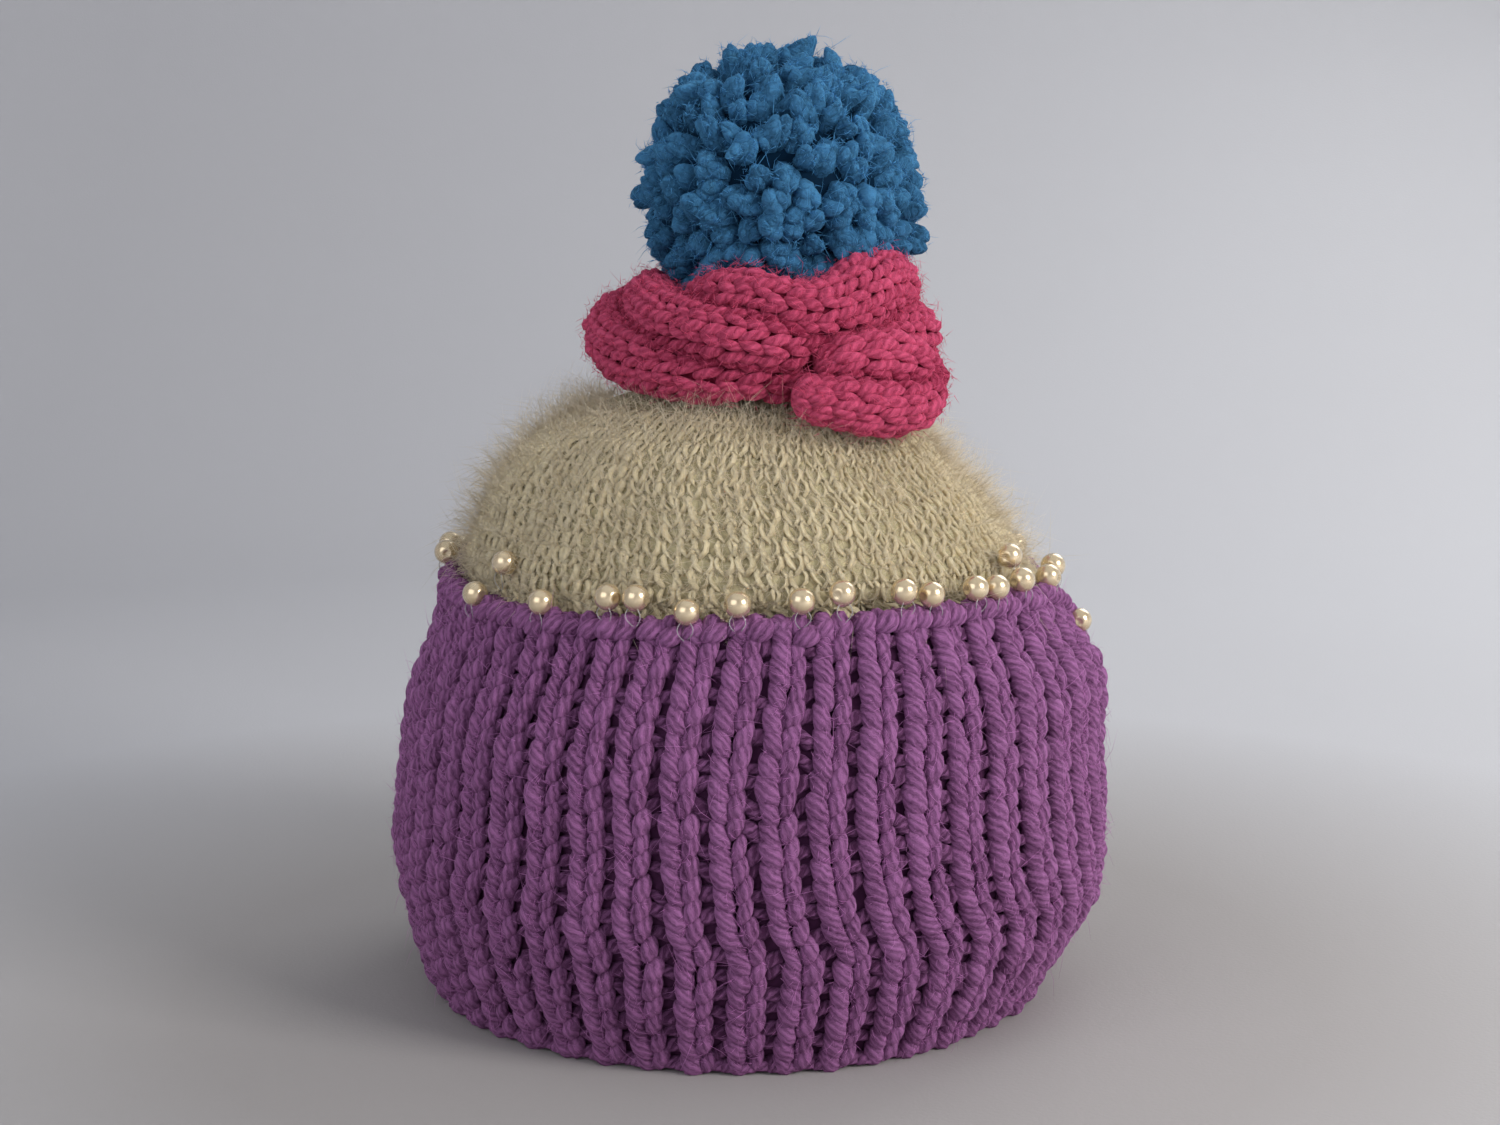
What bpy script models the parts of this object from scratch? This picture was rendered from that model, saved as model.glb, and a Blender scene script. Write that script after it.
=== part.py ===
"""Knitted tea cosy: two ribbed panels, a mohair top, a knitted twist and a pompom.

Metres, +Z up. The origin is the middle of the hem, on the surface that it stands on.
The front panel faces -Y. Each side has a slot between the panels: narrow at -X, wide at +X.
Angles are in degrees round the cosy, from 0 at the front through 90 at +X to 180 at the back.
"""
import math
import random

import bmesh
import bpy
from mathutils import Vector

MM = 0.001

# Driving sizes, in millimetres
RIBS = 23                # ribs across each panel
RIB_HEIGHT = 2.6         # how far a rib stands out of its furrows
RIB_DRIFT = 0.0022       # how far a rib wanders sideways, as a share of the panel's width
CLOTH = 3.2              # thickness of the ribbed cloth in a furrow
TOP_CLOTH = 2.2          # thickness of the mohair cloth
SEAM_GAP = 0.3           # parting of the panels at the side seams
SEAT_GAP = 0.5           # parting of the mohair top from the panels round it
TOP_HEM = 94.0           # height of the mohair top's lower edge, inside the panels
TUCK_HEIGHT = 103.0      # up to here the mohair top lies along the panels
TWIST_CENTRE = (4.0, 0.0)
POMPOM_CENTRE = (7.2, 2.0, 194.5)
POMPOM_RADIUS = 35.0
CORE_RADIUS = 23.0
CORE_TAPER = 0.38        # how much narrower the core's foot is than a plain egg's
CORE_FOOT = 152.6        # lowest point of the pompom's core, on the crown
LOWEST_LOCK = 170.0      # locks grow above this height
LOCK_CLEARANCE = 0.8     # least gap from a lock to the twist
LOCK_PARTING = 0.7       # gap between the roots of two locks
LOCK_SPREAD = 1.35       # how much wider than its root a lock grows
TIP_SPREAD = 0.5         # width of a lock's blunt tip, as a share of its widest place
SEED = 7

# One corner of the hem turns outwards near the wide slot
FLARE = 3.6
FLARE_ANGLE = 66.0
FLARE_WIDTH = 13.0
FLARE_HEIGHT = 6.0

# Mesh density
RIB_POINTS = 4           # points across a rib
PANEL_ROWS = 12
TOP_COLUMNS = 40
TWIST_SIDES = 9

# Height of a panel point against its radius at the narrow slot, the front and back, the wide slot
BODY = (
    # height, narrow, middle, wide
    (0.0, 79.0, 75.5, 67.0),
    (5.0, 81.0, 78.0, 72.2),
    (10.0, 83.0, 80.5, 76.8),
    (17.0, 84.8, 83.4, 82.0),
    (26.0, 87.0, 86.0, 87.0),
    (38.0, 88.6, 87.8, 88.3),
    (50.0, 87.6, 88.0, 88.5),
    (62.0, 86.0, 87.2, 87.6),
    (75.0, 84.0, 84.8, 88.0),
    (84.0, 80.6, 81.8, 86.2),
    (92.0, 77.6, 78.6, 80.0),
    (101.0, 75.4, 75.4, 77.0),
    (108.0, 74.6, 74.2, 75.6),
)

# Half the width of each slot against height: a closed seam below, an open slot above
SLOTS = (
    # height, narrow, wide
    (0.0, 0.0, 0.0),
    (29.0, 0.0, 0.0),
    (36.0, 0.3, 4.5),
    (43.0, 4.0, 9.5),
    (52.0, 5.8, 12.0),
    (66.0, 5.4, 12.5),
    (80.0, 5.6, 11.0),
    (92.0, 6.6, 9.0),
    (108.0, 7.4, 8.0),
)

# Height of the rim round the cosy
RIM = (
    # angle, height
    (-90.0, 106.0),
    (-78.0, 103.6),
    (-50.0, 101.0),
    (-15.0, 101.4),
    (20.0, 102.2),
    (60.0, 102.6),
    (76.0, 100.0),
    (90.0, 91.5),
    (104.0, 99.6),
    (130.0, 102.4),
    (180.0, 101.6),
    (225.0, 101.2),
    (257.0, 103.2),
    (270.0, 106.0),
)

# The mohair top above the rim: it leans to the narrow side and closes at the crown
TOP = (
    # height, radius, shift towards +X
    (108.5, 67.6, -1.4),
    (116.0, 63.6, -2.4),
    (122.5, 60.2, -3.4),
    (128.5, 55.0, -5.0),
    (134.5, 49.4, -4.8),
    (140.0, 42.0, -3.6),
    (145.0, 32.5, -2.4),
    (149.0, 20.0, -1.0),
    (151.4, 8.0, 0.0),
)
CROWN = 152.0

# Soft folds pressed into the mohair top
FOLDS = (
    # angle, height of its middle, half width in degrees, half length, depth
    (-47.0, 124.0, 9.0, 17.0, 2.8),
    (-26.0, 119.0, 8.0, 15.0, 2.2),
    (8.0, 131.0, 10.0, 12.0, 2.0),
    (41.0, 122.0, 9.0, 14.0, 2.3),
    (84.0, 126.0, 10.0, 16.0, 2.4),
    (128.0, 121.0, 9.0, 15.0, 2.5),
    (171.0, 127.0, 10.0, 16.0, 2.4),
    (214.0, 122.0, 9.0, 15.0, 2.6),
    (256.0, 126.0, 9.0, 14.0, 2.0),
)

# Strands of the knitted twist: it lies on the crown round the pompom's foot
LOWER_RING = (
    # angle, distance from the twist's centre, height, half thickness
    (38.0, 31.0, 152.6, 6.4),
    (12.0, 34.0, 152.6, 7.2),
    (-18.0, 35.6, 153.0, 7.6),
    (-48.0, 36.4, 155.0, 7.8),
    (-75.0, 36.6, 159.0, 7.8),
    (-98.0, 35.8, 163.4, 7.6),
    (-122.0, 34.2, 164.0, 7.4),
    (-150.0, 33.2, 159.0, 7.4),
    (-180.0, 33.6, 155.0, 7.4),
    (-215.0, 34.2, 153.4, 7.4),
    (-250.0, 35.0, 153.2, 7.4),
    (-285.0, 35.0, 153.4, 7.0),
)
UNDER_STRAND = (
    (-52.0, 31.4, 163.6, 6.0),
    (-36.0, 34.2, 164.6, 7.2),
    (-20.0, 37.4, 162.6, 7.6),
    (-5.0, 38.6, 160.4, 7.6),
    (10.0, 36.6, 159.6, 7.4),
    (25.0, 31.8, 160.6, 7.2),
    (46.0, 30.6, 160.8, 7.4),
    (68.0, 32.6, 160.4, 7.8),
    (92.0, 34.6, 160.4, 8.0),
    (118.0, 33.0, 164.0, 7.6),
    (145.0, 30.4, 168.0, 7.4),
    (172.0, 30.0, 168.0, 7.2),
    (198.0, 32.4, 164.0, 6.6),
)
OVER_STRAND = (
    (-32.0, 29.6, 166.0, 6.2),
    (-15.0, 32.6, 168.0, 7.4),
    (0.0, 35.4, 168.2, 7.8),
    (13.0, 36.6, 167.4, 7.8),
    (28.0, 35.2, 168.8, 8.4),
    (44.0, 32.2, 171.8, 8.8),
    (62.0, 29.2, 173.2, 8.8),
    (84.0, 28.6, 172.4, 8.4),
    (108.0, 31.0, 168.8, 8.0),
    (132.0, 35.2, 162.8, 7.8),
    (158.0, 36.8, 160.2, 7.6),
    (184.0, 36.0, 161.6, 7.4),
    (208.0, 33.4, 165.6, 7.2),
    (236.0, 31.0, 167.2, 6.8),
    (262.0, 30.6, 166.0, 6.0),
)
LOOP_TOP = (
    (16.0, 39.6, 154.8, 5.8),
    (29.0, 42.6, 156.6, 6.6),
    (44.0, 43.6, 155.4, 6.8),
    (56.0, 43.0, 151.4, 6.6),
    (60.0, 42.6, 147.6, 6.2),
)
LOOP_BOTTOM = (
    (58.0, 43.0, 150.2, 6.2),
    (48.0, 45.8, 146.6, 6.6),
    (34.0, 46.8, 145.4, 6.6),
    (20.0, 45.4, 146.8, 6.2),
    (8.0, 43.4, 149.0, 5.2),
)


def curve_at(table, position, column):
    """Value of a column at a position in the table's first column, on a smooth curve."""
    last = len(table) - 2
    index = 0
    while index < last and position > table[index + 1][0]:
        index += 1
    start, end = table[index], table[index + 1]
    before, after = table[max(index - 1, 0)], table[min(index + 2, last + 1)]
    width = end[0] - start[0]
    t = min(max((position - start[0]) / width, 0.0), 1.0)
    slope_in = (end[column] - before[column]) / (end[0] - before[0]) * width
    slope_out = (after[column] - start[column]) / (after[0] - start[0]) * width
    return ((2 * t ** 3 - 3 * t ** 2 + 1) * start[column] + (t ** 3 - 2 * t ** 2 + t) * slope_in
            + (3 * t ** 2 - 2 * t ** 3) * end[column] + (t ** 3 - t ** 2) * slope_out)


def polar(angle, radius, height, centre=(0.0, 0.0)):
    """Point in metres at an angle in degrees, with the other sizes in millimetres."""
    turn = math.radians(angle)
    return Vector((centre[0] + radius * math.sin(turn), centre[1] - radius * math.cos(turn), height)) * MM


def body_radius(angle, height):
    """Radius of the rib crests."""
    side = math.sin(math.radians(angle))
    column = 3 if side > 0 else 1
    share = side * side
    radius = (1 - share) * curve_at(BODY, height, 2) + share * curve_at(BODY, height, column)
    across = (angle - FLARE_ANGLE) / FLARE_WIDTH
    up = height / FLARE_HEIGHT
    return radius + FLARE * math.exp(-across * across - up * up)


def inner_radius(angle, height):
    """Radius of a panel's inner face."""
    return body_radius(angle, height) - RIB_HEIGHT - CLOTH


def slot_angle(column, height):
    """Half the angle that a slot or its seam takes up, for a column of SLOTS."""
    half_width = max(curve_at(SLOTS, height, column), 0.0) + SEAM_GAP / 2
    return math.degrees(half_width / inner_radius((-90.0, 90.0)[column - 1], height))


def panel_angle(share, height, start):
    """Angle of a point that lies a share of the way across a panel, which starts at a slot."""
    first, second = (1, 2) if start < 0 else (2, 1)
    from_slot = slot_angle(first, height)
    to_slot = slot_angle(second, height)
    return start + from_slot + (180.0 - from_slot - to_slot) * share


def rib_lift(column):
    """Height of the cloth across a rib: a thick leg, the crest, a thin leg and the furrow."""
    return RIB_HEIGHT * (0.0, 0.8, 1.0, 0.55)[column % RIB_POINTS]


def wander(column, row):
    """Sideways drift of the ribs, as a share of the panel, nothing at its edges."""
    edge = math.sin(math.pi * column / (RIBS * RIB_POINTS))
    return RIB_DRIFT * edge * math.sin(0.75 * row + 0.11 * column) * min(row, 3) / 3


def fold_depth(angle, height):
    """How deep the folds press into the mohair top."""
    depth = 0.0
    for fold_angle, middle, half_width, half_length, deep in FOLDS:
        lean = (height - middle) * 0.35
        across = ((angle - fold_angle - lean + 180.0) % 360.0 - 180.0) / half_width
        along = (height - middle) / half_length
        depth += deep * math.exp(-across * across - along * along)
    return depth


def top_point(angle, height):
    """Point of the mohair top's outer face."""
    if height <= TUCK_HEIGHT:
        return polar(angle, inner_radius(angle, height) - SEAT_GAP, height)
    radius = curve_at(TOP, height, 1) - fold_depth(angle, height)
    return polar(angle, radius, height, (curve_at(TOP, height, 2), 0.0))


def new_object(name, mesh_builder, material):
    """Turn a bmesh into a named object with one material."""
    bmesh.ops.recalc_face_normals(mesh_builder, faces=mesh_builder.faces)
    mesh = bpy.data.meshes.new(name)
    mesh_builder.to_mesh(mesh)
    mesh_builder.free()
    mesh.materials.append(material)
    mesh.shade_smooth()
    obj = bpy.data.objects.new(name, mesh)
    bpy.context.scene.collection.objects.link(obj)
    return obj


def yarn_material(name, colour, roughness):
    """Principled material of one yarn."""
    material = bpy.data.materials.new(name)
    material.use_nodes = True
    shader = material.node_tree.nodes["Principled BSDF"]
    shader.inputs["Base Color"].default_value = (*colour, 1.0)
    shader.inputs["Roughness"].default_value = roughness
    shader.inputs["Metallic"].default_value = 0.0
    return material


def make_panel(name, start, material):
    """One ribbed panel: an upright shell with its hem flat on the surface."""
    columns = RIBS * RIB_POINTS
    builder = bmesh.new()
    outer, inner = [], []
    for row in range(PANEL_ROWS + 1):
        outer_row, inner_row = [], []
        for column in range(columns + 1):
            share = column / columns
            rim = curve_at(RIM, (panel_angle(share, 100.0, start) + 90.0) % 360.0 - 90.0, 1)
            height = rim * row / PANEL_ROWS
            angle = panel_angle(share + wander(column, row), height, start)
            radius = body_radius(angle, height) - RIB_HEIGHT
            outer_row.append(builder.verts.new(polar(angle, radius + rib_lift(column), height)))
            if column % RIB_POINTS == 0:
                inner_row.append(builder.verts.new(polar(angle, radius - CLOTH, height)))
        outer.append(outer_row)
        inner.append(inner_row)
    for row in range(PANEL_ROWS):
        for wall in (outer, inner):
            for column in range(len(wall[row]) - 1):
                builder.faces.new((wall[row][column], wall[row][column + 1],
                                   wall[row + 1][column + 1], wall[row + 1][column]))
        for end in (0, -1):
            builder.faces.new((outer[row][end], outer[row + 1][end], inner[row + 1][end], inner[row][end]))
    for row in (0, -1):
        for rib in range(RIBS):
            edge = outer[row][rib * RIB_POINTS:(rib + 1) * RIB_POINTS + 1]
            builder.faces.new((*edge, inner[row][rib + 1], inner[row][rib]))
    return new_object(name, builder, material)


def make_top(material):
    """The mohair top: a soft dome that closes at the crown, open below."""
    builder = bmesh.new()
    heights = [TOP_HEM, (TOP_HEM + TUCK_HEIGHT) / 2, TUCK_HEIGHT] + [row[0] for row in TOP]
    rings = []
    for height in heights:
        turns = [360.0 * column / TOP_COLUMNS for column in range(TOP_COLUMNS)]
        rings.append([builder.verts.new(top_point(angle, height)) for angle in turns])
    crown = builder.verts.new(Vector((0.0, 0.0, CROWN)) * MM)
    for low, high in zip(rings, rings[1:]):
        for column in range(TOP_COLUMNS):
            following = (column + 1) % TOP_COLUMNS
            builder.faces.new((low[column], low[following], high[following], high[column]))
    for column in range(TOP_COLUMNS):
        builder.faces.new((rings[-1][column], rings[-1][(column + 1) % TOP_COLUMNS], crown))
    top = new_object("mohair_top", builder, material)
    shell = top.modifiers.new("Cloth", "SOLIDIFY")
    shell.thickness = TOP_CLOTH * MM
    shell.offset = -1.0
    return top


def strand_path(strand):
    """Points and half thicknesses, in metres, along a strand's smooth middle line."""
    steps = 3 * (len(strand) - 1)
    numbered = [(float(index), *row) for index, row in enumerate(strand)]
    path = []
    for step in range(steps + 1):
        angle, radius, height, half = [curve_at(numbered, step / 3, column) for column in (1, 2, 3, 4)]
        path.append((polar(angle, radius, height, TWIST_CENTRE), half * MM))
    return path


def make_strand(name, strand, material):
    """One strand as a tube with rounded ends."""
    path = strand_path(strand)
    builder = bmesh.new()
    rings = []
    for index, (point, half) in enumerate(path):
        ahead = path[min(index + 1, len(path) - 1)][0]
        behind = path[max(index - 1, 0)][0]
        forward = (ahead - behind).normalized()
        sideways = forward.cross(Vector((0.0, 0.0, 1.0))).normalized()
        upward = sideways.cross(forward)
        from_end = min(index, len(path) - 1 - index)
        size = half * (0.62, 0.9, 1.0)[min(from_end, 2)]
        ring = []
        for side in range(TWIST_SIDES):
            turn = 2 * math.pi * side / TWIST_SIDES
            ring.append(builder.verts.new(point + size * (math.cos(turn) * sideways + math.sin(turn) * upward)))
        rings.append(ring)
    for low, high in zip(rings, rings[1:]):
        for side in range(TWIST_SIDES):
            following = (side + 1) % TWIST_SIDES
            builder.faces.new((low[side], low[following], high[following], high[side]))
    builder.faces.new(rings[0])
    builder.faces.new(rings[-1])
    return new_object(name, builder, material)


def make_twist(material):
    """The knitted twist: its strands press together into one solid."""
    twist = make_strand("knitted_twist", LOWER_RING, material)
    others = (("under_guide", UNDER_STRAND), ("over_guide", OVER_STRAND),
              ("loop_top_guide", LOOP_TOP), ("loop_bottom_guide", LOOP_BOTTOM))
    for name, strand in others:
        guide = make_strand(name, strand, material)
        guide.hide_render = True
        guide.display_type = "WIRE"
        union = twist.modifiers.new(name, "BOOLEAN")
        union.operation = "UNION"
        union.solver = "EXACT"
        union.object = guide
    return twist


def clear_of_twist(points, paths):
    """True where every point passes the strands with the clearance of a lock."""
    return all((point - middle).length > half + LOCK_CLEARANCE * MM
               for point in points for path in paths for middle, half in path)


def make_pompom(material):
    """The pompom: locks of yarn that stand apart and share an egg-shaped core."""
    draw = random.Random(SEED)
    centre = Vector(POMPOM_CENTRE) * MM
    builder = bmesh.new()
    bmesh.ops.create_icosphere(builder, subdivisions=3, radius=CORE_RADIUS * MM)
    foot = (POMPOM_CENTRE[2] - CORE_FOOT) / CORE_RADIUS
    for vert in builder.verts:
        if vert.co.z < 0:
            vert.co.z *= foot
            narrow = -vert.co.z / (foot * CORE_RADIUS * MM)
            vert.co.x *= 1 - CORE_TAPER * narrow
            vert.co.y *= 1 - CORE_TAPER * narrow
            vert.co.x -= POMPOM_CENTRE[0] / 2 * MM * narrow
        vert.co += centre
    paths = [strand_path(strand) for strand in (LOWER_RING, UNDER_STRAND, OVER_STRAND, LOOP_TOP, LOOP_BOTTOM)]
    for face in list(builder.faces):
        root = face.calc_center_median()
        outward = (root - centre).normalized()
        outward = (outward + Vector([draw.uniform(-0.07, 0.07) for _ in range(3)])).normalized()
        reach = (POMPOM_RADIUS + draw.uniform(-1.6, 1.0)) * MM
        tip = centre + outward * reach
        shoulder = centre + outward * (reach - 3.2 * MM)
        corners = [shoulder + (vert.co - root) * LOCK_SPREAD for vert in face.verts]
        halfway = [(corner + vert.co) / 2 for corner, vert in zip(corners, face.verts)]
        low = min(point.z for point in corners) < LOWEST_LOCK * MM
        if low or not clear_of_twist([tip, *corners, *halfway], paths):
            continue
        bmesh.ops.inset_individual(builder, faces=[face], thickness=LOCK_PARTING / 2 * MM, use_even_offset=True)
        for place, spread in ((shoulder, LOCK_SPREAD), (tip, TIP_SPREAD)):
            grown = bmesh.ops.extrude_discrete_faces(builder, faces=[face])["faces"][0]
            middle = grown.calc_center_median()
            for vert in grown.verts:
                vert.co = place + (vert.co - middle) * spread
            face = grown
    return new_object("pompom", builder, material)


def main():
    for obj in list(bpy.data.objects):
        bpy.data.objects.remove(obj, do_unlink=True)
    purple = yarn_material("purple_wool", (0.127, 0.047, 0.117), 0.9)
    cream = yarn_material("cream_mohair", (0.342, 0.296, 0.188), 0.9)
    pink = yarn_material("pink_wool", (0.279, 0.044, 0.082), 0.9)
    blue = yarn_material("blue_roving", (0.020, 0.076, 0.153), 0.95)
    make_panel("front_panel", -90.0, purple)
    make_panel("back_panel", 90.0, purple)
    make_top(cream)
    make_twist(pink)
    make_pompom(blue)


main()
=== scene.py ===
"""Knitted tea cosy: its looks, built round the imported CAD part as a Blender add-on."""

import math
from functools import partial

import bpy
import numpy as np
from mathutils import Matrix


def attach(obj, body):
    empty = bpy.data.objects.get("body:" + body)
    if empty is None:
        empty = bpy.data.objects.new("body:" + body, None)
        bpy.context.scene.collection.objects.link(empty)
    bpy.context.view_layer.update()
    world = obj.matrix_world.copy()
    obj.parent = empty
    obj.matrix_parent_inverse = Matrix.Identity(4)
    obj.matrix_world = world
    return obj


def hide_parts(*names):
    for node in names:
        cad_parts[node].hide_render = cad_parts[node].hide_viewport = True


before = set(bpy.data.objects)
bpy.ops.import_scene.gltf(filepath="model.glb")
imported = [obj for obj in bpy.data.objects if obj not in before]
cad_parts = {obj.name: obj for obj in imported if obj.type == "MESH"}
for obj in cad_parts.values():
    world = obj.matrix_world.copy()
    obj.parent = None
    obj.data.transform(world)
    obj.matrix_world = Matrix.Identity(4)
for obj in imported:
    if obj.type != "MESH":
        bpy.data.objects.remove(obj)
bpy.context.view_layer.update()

bl_info = {
    "name": "Knitted tea cosy",
    "version": (1, 0, 0),
    "blender": (4, 5, 0),
    "location": "3D View > Sidebar > Cosy",
    "description": "Builds the yarn, the beads and the studio round a tea cosy's CAD part",
    "category": "Add Mesh",
}

# The CAD part's sizes in millimetres. Angle 0 is the front, 90 the wide slot and -90 the narrow slot.
MM = 0.001
RIBS = 23
RIB_HEIGHT = 2.6
RIB_DRIFT = 0.0022
RIB_POINTS = 4
PANEL_ROWS = 12
CLOTH = 3.2
TOP_CLOTH = 2.2
SEAM_GAP = 0.3
SEAT_GAP = 0.5
TOP_HEM = 94.0
TUCK_HEIGHT = 103.0
CROWN = 152.0
TWIST_CENTRE = (4.0, 0.0)
FLARE = 3.6
FLARE_ANGLE = 66.0
FLARE_WIDTH = 13.0
FLARE_HEIGHT = 6.0
NARROW, MIDDLE, WIDE = 1, 2, 3

# Radius of the rib crests: height, then at the narrow slot, at the front and back, at the wide slot
BODY = (
    (0.0, 79.0, 75.5, 67.0),
    (5.0, 81.0, 78.0, 72.2),
    (10.0, 83.0, 80.5, 76.8),
    (17.0, 84.8, 83.4, 82.0),
    (26.0, 87.0, 86.0, 87.0),
    (38.0, 88.6, 87.8, 88.3),
    (50.0, 87.6, 88.0, 88.5),
    (62.0, 86.0, 87.2, 87.6),
    (75.0, 84.0, 84.8, 88.0),
    (84.0, 80.6, 81.8, 86.2),
    (92.0, 77.6, 78.6, 80.0),
    (101.0, 75.4, 75.4, 77.0),
    (108.0, 74.6, 74.2, 75.6),
)
# Half widths of the slots between the panels: height, narrow slot, wide slot
SLOTS = (
    (0.0, 0.0, 0.0),
    (29.0, 0.0, 0.0),
    (36.0, 0.3, 4.5),
    (43.0, 4.0, 9.5),
    (52.0, 5.8, 12.0),
    (66.0, 5.4, 12.5),
    (80.0, 5.6, 11.0),
    (92.0, 6.6, 9.0),
    (108.0, 7.4, 8.0),
)
# Height of the panels' rim: angle, height
RIM = (
    (-90.0, 106.0),
    (-78.0, 103.6),
    (-50.0, 101.0),
    (-15.0, 101.4),
    (20.0, 102.2),
    (60.0, 102.6),
    (76.0, 100.0),
    (90.0, 91.5),
    (104.0, 99.6),
    (130.0, 102.4),
    (180.0, 101.6),
    (225.0, 101.2),
    (257.0, 103.2),
    (270.0, 106.0),
)
# The mohair top above the rim: height, radius, shift towards +X
TOP = (
    (108.5, 67.6, -1.4),
    (116.0, 63.6, -2.4),
    (122.5, 60.2, -3.4),
    (128.5, 55.0, -5.0),
    (134.5, 49.4, -4.8),
    (140.0, 42.0, -3.6),
    (145.0, 32.5, -2.4),
    (149.0, 20.0, -1.0),
    (151.4, 8.0, 0.0),
)
# Folds in the mohair top: angle, height of the middle, half width in degrees, half length, depth
FOLDS = (
    (-47.0, 124.0, 9.0, 17.0, 2.8),
    (-26.0, 119.0, 8.0, 15.0, 2.2),
    (8.0, 131.0, 10.0, 12.0, 2.0),
    (41.0, 122.0, 9.0, 14.0, 2.3),
    (84.0, 126.0, 10.0, 16.0, 2.4),
    (128.0, 121.0, 9.0, 15.0, 2.5),
    (171.0, 127.0, 10.0, 16.0, 2.4),
    (214.0, 122.0, 9.0, 15.0, 2.6),
    (256.0, 126.0, 9.0, 14.0, 2.0),
)
# Strands of the knitted twist: angle, distance from the twist's centre, height, half thickness
LOWER_RING = (
    (38.0, 31.0, 152.6, 6.4),
    (12.0, 34.0, 152.6, 7.2),
    (-18.0, 35.6, 153.0, 7.6),
    (-48.0, 36.4, 155.0, 7.8),
    (-75.0, 36.6, 159.0, 7.8),
    (-98.0, 35.8, 163.4, 7.6),
    (-122.0, 34.2, 164.0, 7.4),
    (-150.0, 33.2, 159.0, 7.4),
    (-180.0, 33.6, 155.0, 7.4),
    (-215.0, 34.2, 153.4, 7.4),
    (-250.0, 35.0, 153.2, 7.4),
    (-285.0, 35.0, 153.4, 7.0),
)
UNDER_STRAND = (
    (-104.0, 25.0, 168.6, 5.6),
    (-84.0, 27.6, 169.0, 6.6),
    (-66.0, 29.6, 167.6, 7.2),
    (-50.0, 32.2, 165.2, 7.4),
    (-36.0, 34.8, 163.4, 7.4),
    (-20.0, 37.4, 161.8, 7.6),
    (-5.0, 38.6, 160.4, 7.6),
    (10.0, 36.6, 159.6, 7.4),
    (25.0, 31.8, 160.6, 7.2),
    (46.0, 30.6, 160.8, 7.4),
    (68.0, 32.6, 160.4, 7.8),
    (92.0, 34.6, 160.4, 8.0),
    (118.0, 33.0, 164.0, 7.6),
    (145.0, 30.4, 168.0, 7.4),
    (172.0, 30.0, 168.0, 7.2),
    (198.0, 32.4, 164.0, 6.6),
)
OVER_STRAND = (
    (-36.0, 27.0, 167.0, 5.8),
    (-20.0, 31.0, 169.2, 7.2),
    (-4.0, 34.6, 168.6, 7.6),
    (10.0, 36.8, 166.4, 7.6),
    (24.0, 36.0, 167.2, 8.0),
    (42.0, 32.6, 171.2, 8.6),
    (60.0, 29.4, 173.2, 8.8),
    (84.0, 28.6, 172.4, 8.4),
    (108.0, 31.0, 168.8, 8.0),
    (132.0, 35.2, 162.8, 7.8),
    (158.0, 36.8, 160.2, 7.6),
    (184.0, 36.0, 161.6, 7.4),
    (208.0, 33.4, 165.6, 7.2),
    (236.0, 31.0, 167.2, 6.8),
    (262.0, 30.6, 166.0, 6.0),
)
LOOP_TOP = (
    (16.0, 39.6, 154.8, 5.8),
    (29.0, 42.6, 156.6, 6.6),
    (44.0, 43.6, 155.4, 6.8),
    (56.0, 43.0, 151.4, 6.6),
    (60.0, 42.6, 147.6, 6.2),
)
LOOP_BOTTOM = (
    (58.0, 43.0, 150.2, 6.2),
    (48.0, 45.8, 146.6, 6.6),
    (34.0, 46.8, 145.4, 6.6),
    (20.0, 45.4, 146.8, 6.2),
    (8.0, 43.4, 149.0, 5.2),
)
STRANDS = (LOWER_RING, UNDER_STRAND, OVER_STRAND, LOOP_TOP, LOOP_BOTTOM)

# The beads along the rim: angle, distance from the axis, height
BEADS = (
    (-84.0, 74.6, 107.8),
    (-53.0, 70.4, 110.0),
    (-57.0, 75.4, 102.6),
    (-38.0, 75.4, 103.6),
    (-24.3, 75.4, 106.2),
    (-19.2, 75.4, 106.4),
    (-10.4, 75.6, 103.8),
    (-2.0, 75.4, 105.6),
    (8.5, 75.4, 106.2),
    (15.4, 75.2, 107.6),
    (26.6, 75.2, 107.2),
    (32.0, 75.4, 106.0),
    (42.0, 75.4, 106.2),
    (47.6, 75.4, 105.6),
    (56.0, 75.4, 106.0),
    (68.0, 75.8, 104.8),
    (73.5, 75.4, 106.4),
    (59.5, 70.0, 110.6),
    (80.6, 81.2, 91.8),
)
BACK_BEADS = 20

# The two legs of a rib stitch, left then right: rings and sides of a tube, half thickness at its ends
# as a share, lean, place across the rib, lift at the ends and in the middle, overlap with the next row,
# bow, offset in rows, plies, length of a ply's turn, brightness
RIB_LEGS = (
    (8, 8, 0.70, -0.15, 0.240, 0.0, 1.0, 0.15, 0.0, 0.0, 7, 13.0, 0.60),
    (7, 6, 0.45, 0.23, 0.595, -0.2, 1.2, 0.20, 0.02, 0.3, 5, 12.0, 0.56),
)

# The photograph's camera: its place in metres, how far it looks down in radians, and its lens in millimetres
CAMERA_PLACE = (0.0, -0.55475, 0.1828)
CAMERA_DOWN = 0.141
CAMERA_LENS = 54.21

# What every wool and the backing cloth share: dull, with light spreading a little inside the wool
WOOL = {"Roughness": 1.0, "Specular IOR Level": 0.05, "Subsurface Weight": 0.35, "Sheen Roughness": 0.6}
MATT_CLOTH = {"Roughness": 0.95, "Specular IOR Level": 0.1}


def linear(code):
    """Linear colour of an sRGB hex code."""
    parts = [int(code[place:place + 2], 16) / 255 for place in (1, 3, 5)]
    return tuple(part / 12.92 if part <= 0.04045 else ((part + 0.055) / 1.055) ** 2.4 for part in parts)


# Shapes shared with the CAD part, in millimetres


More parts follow.
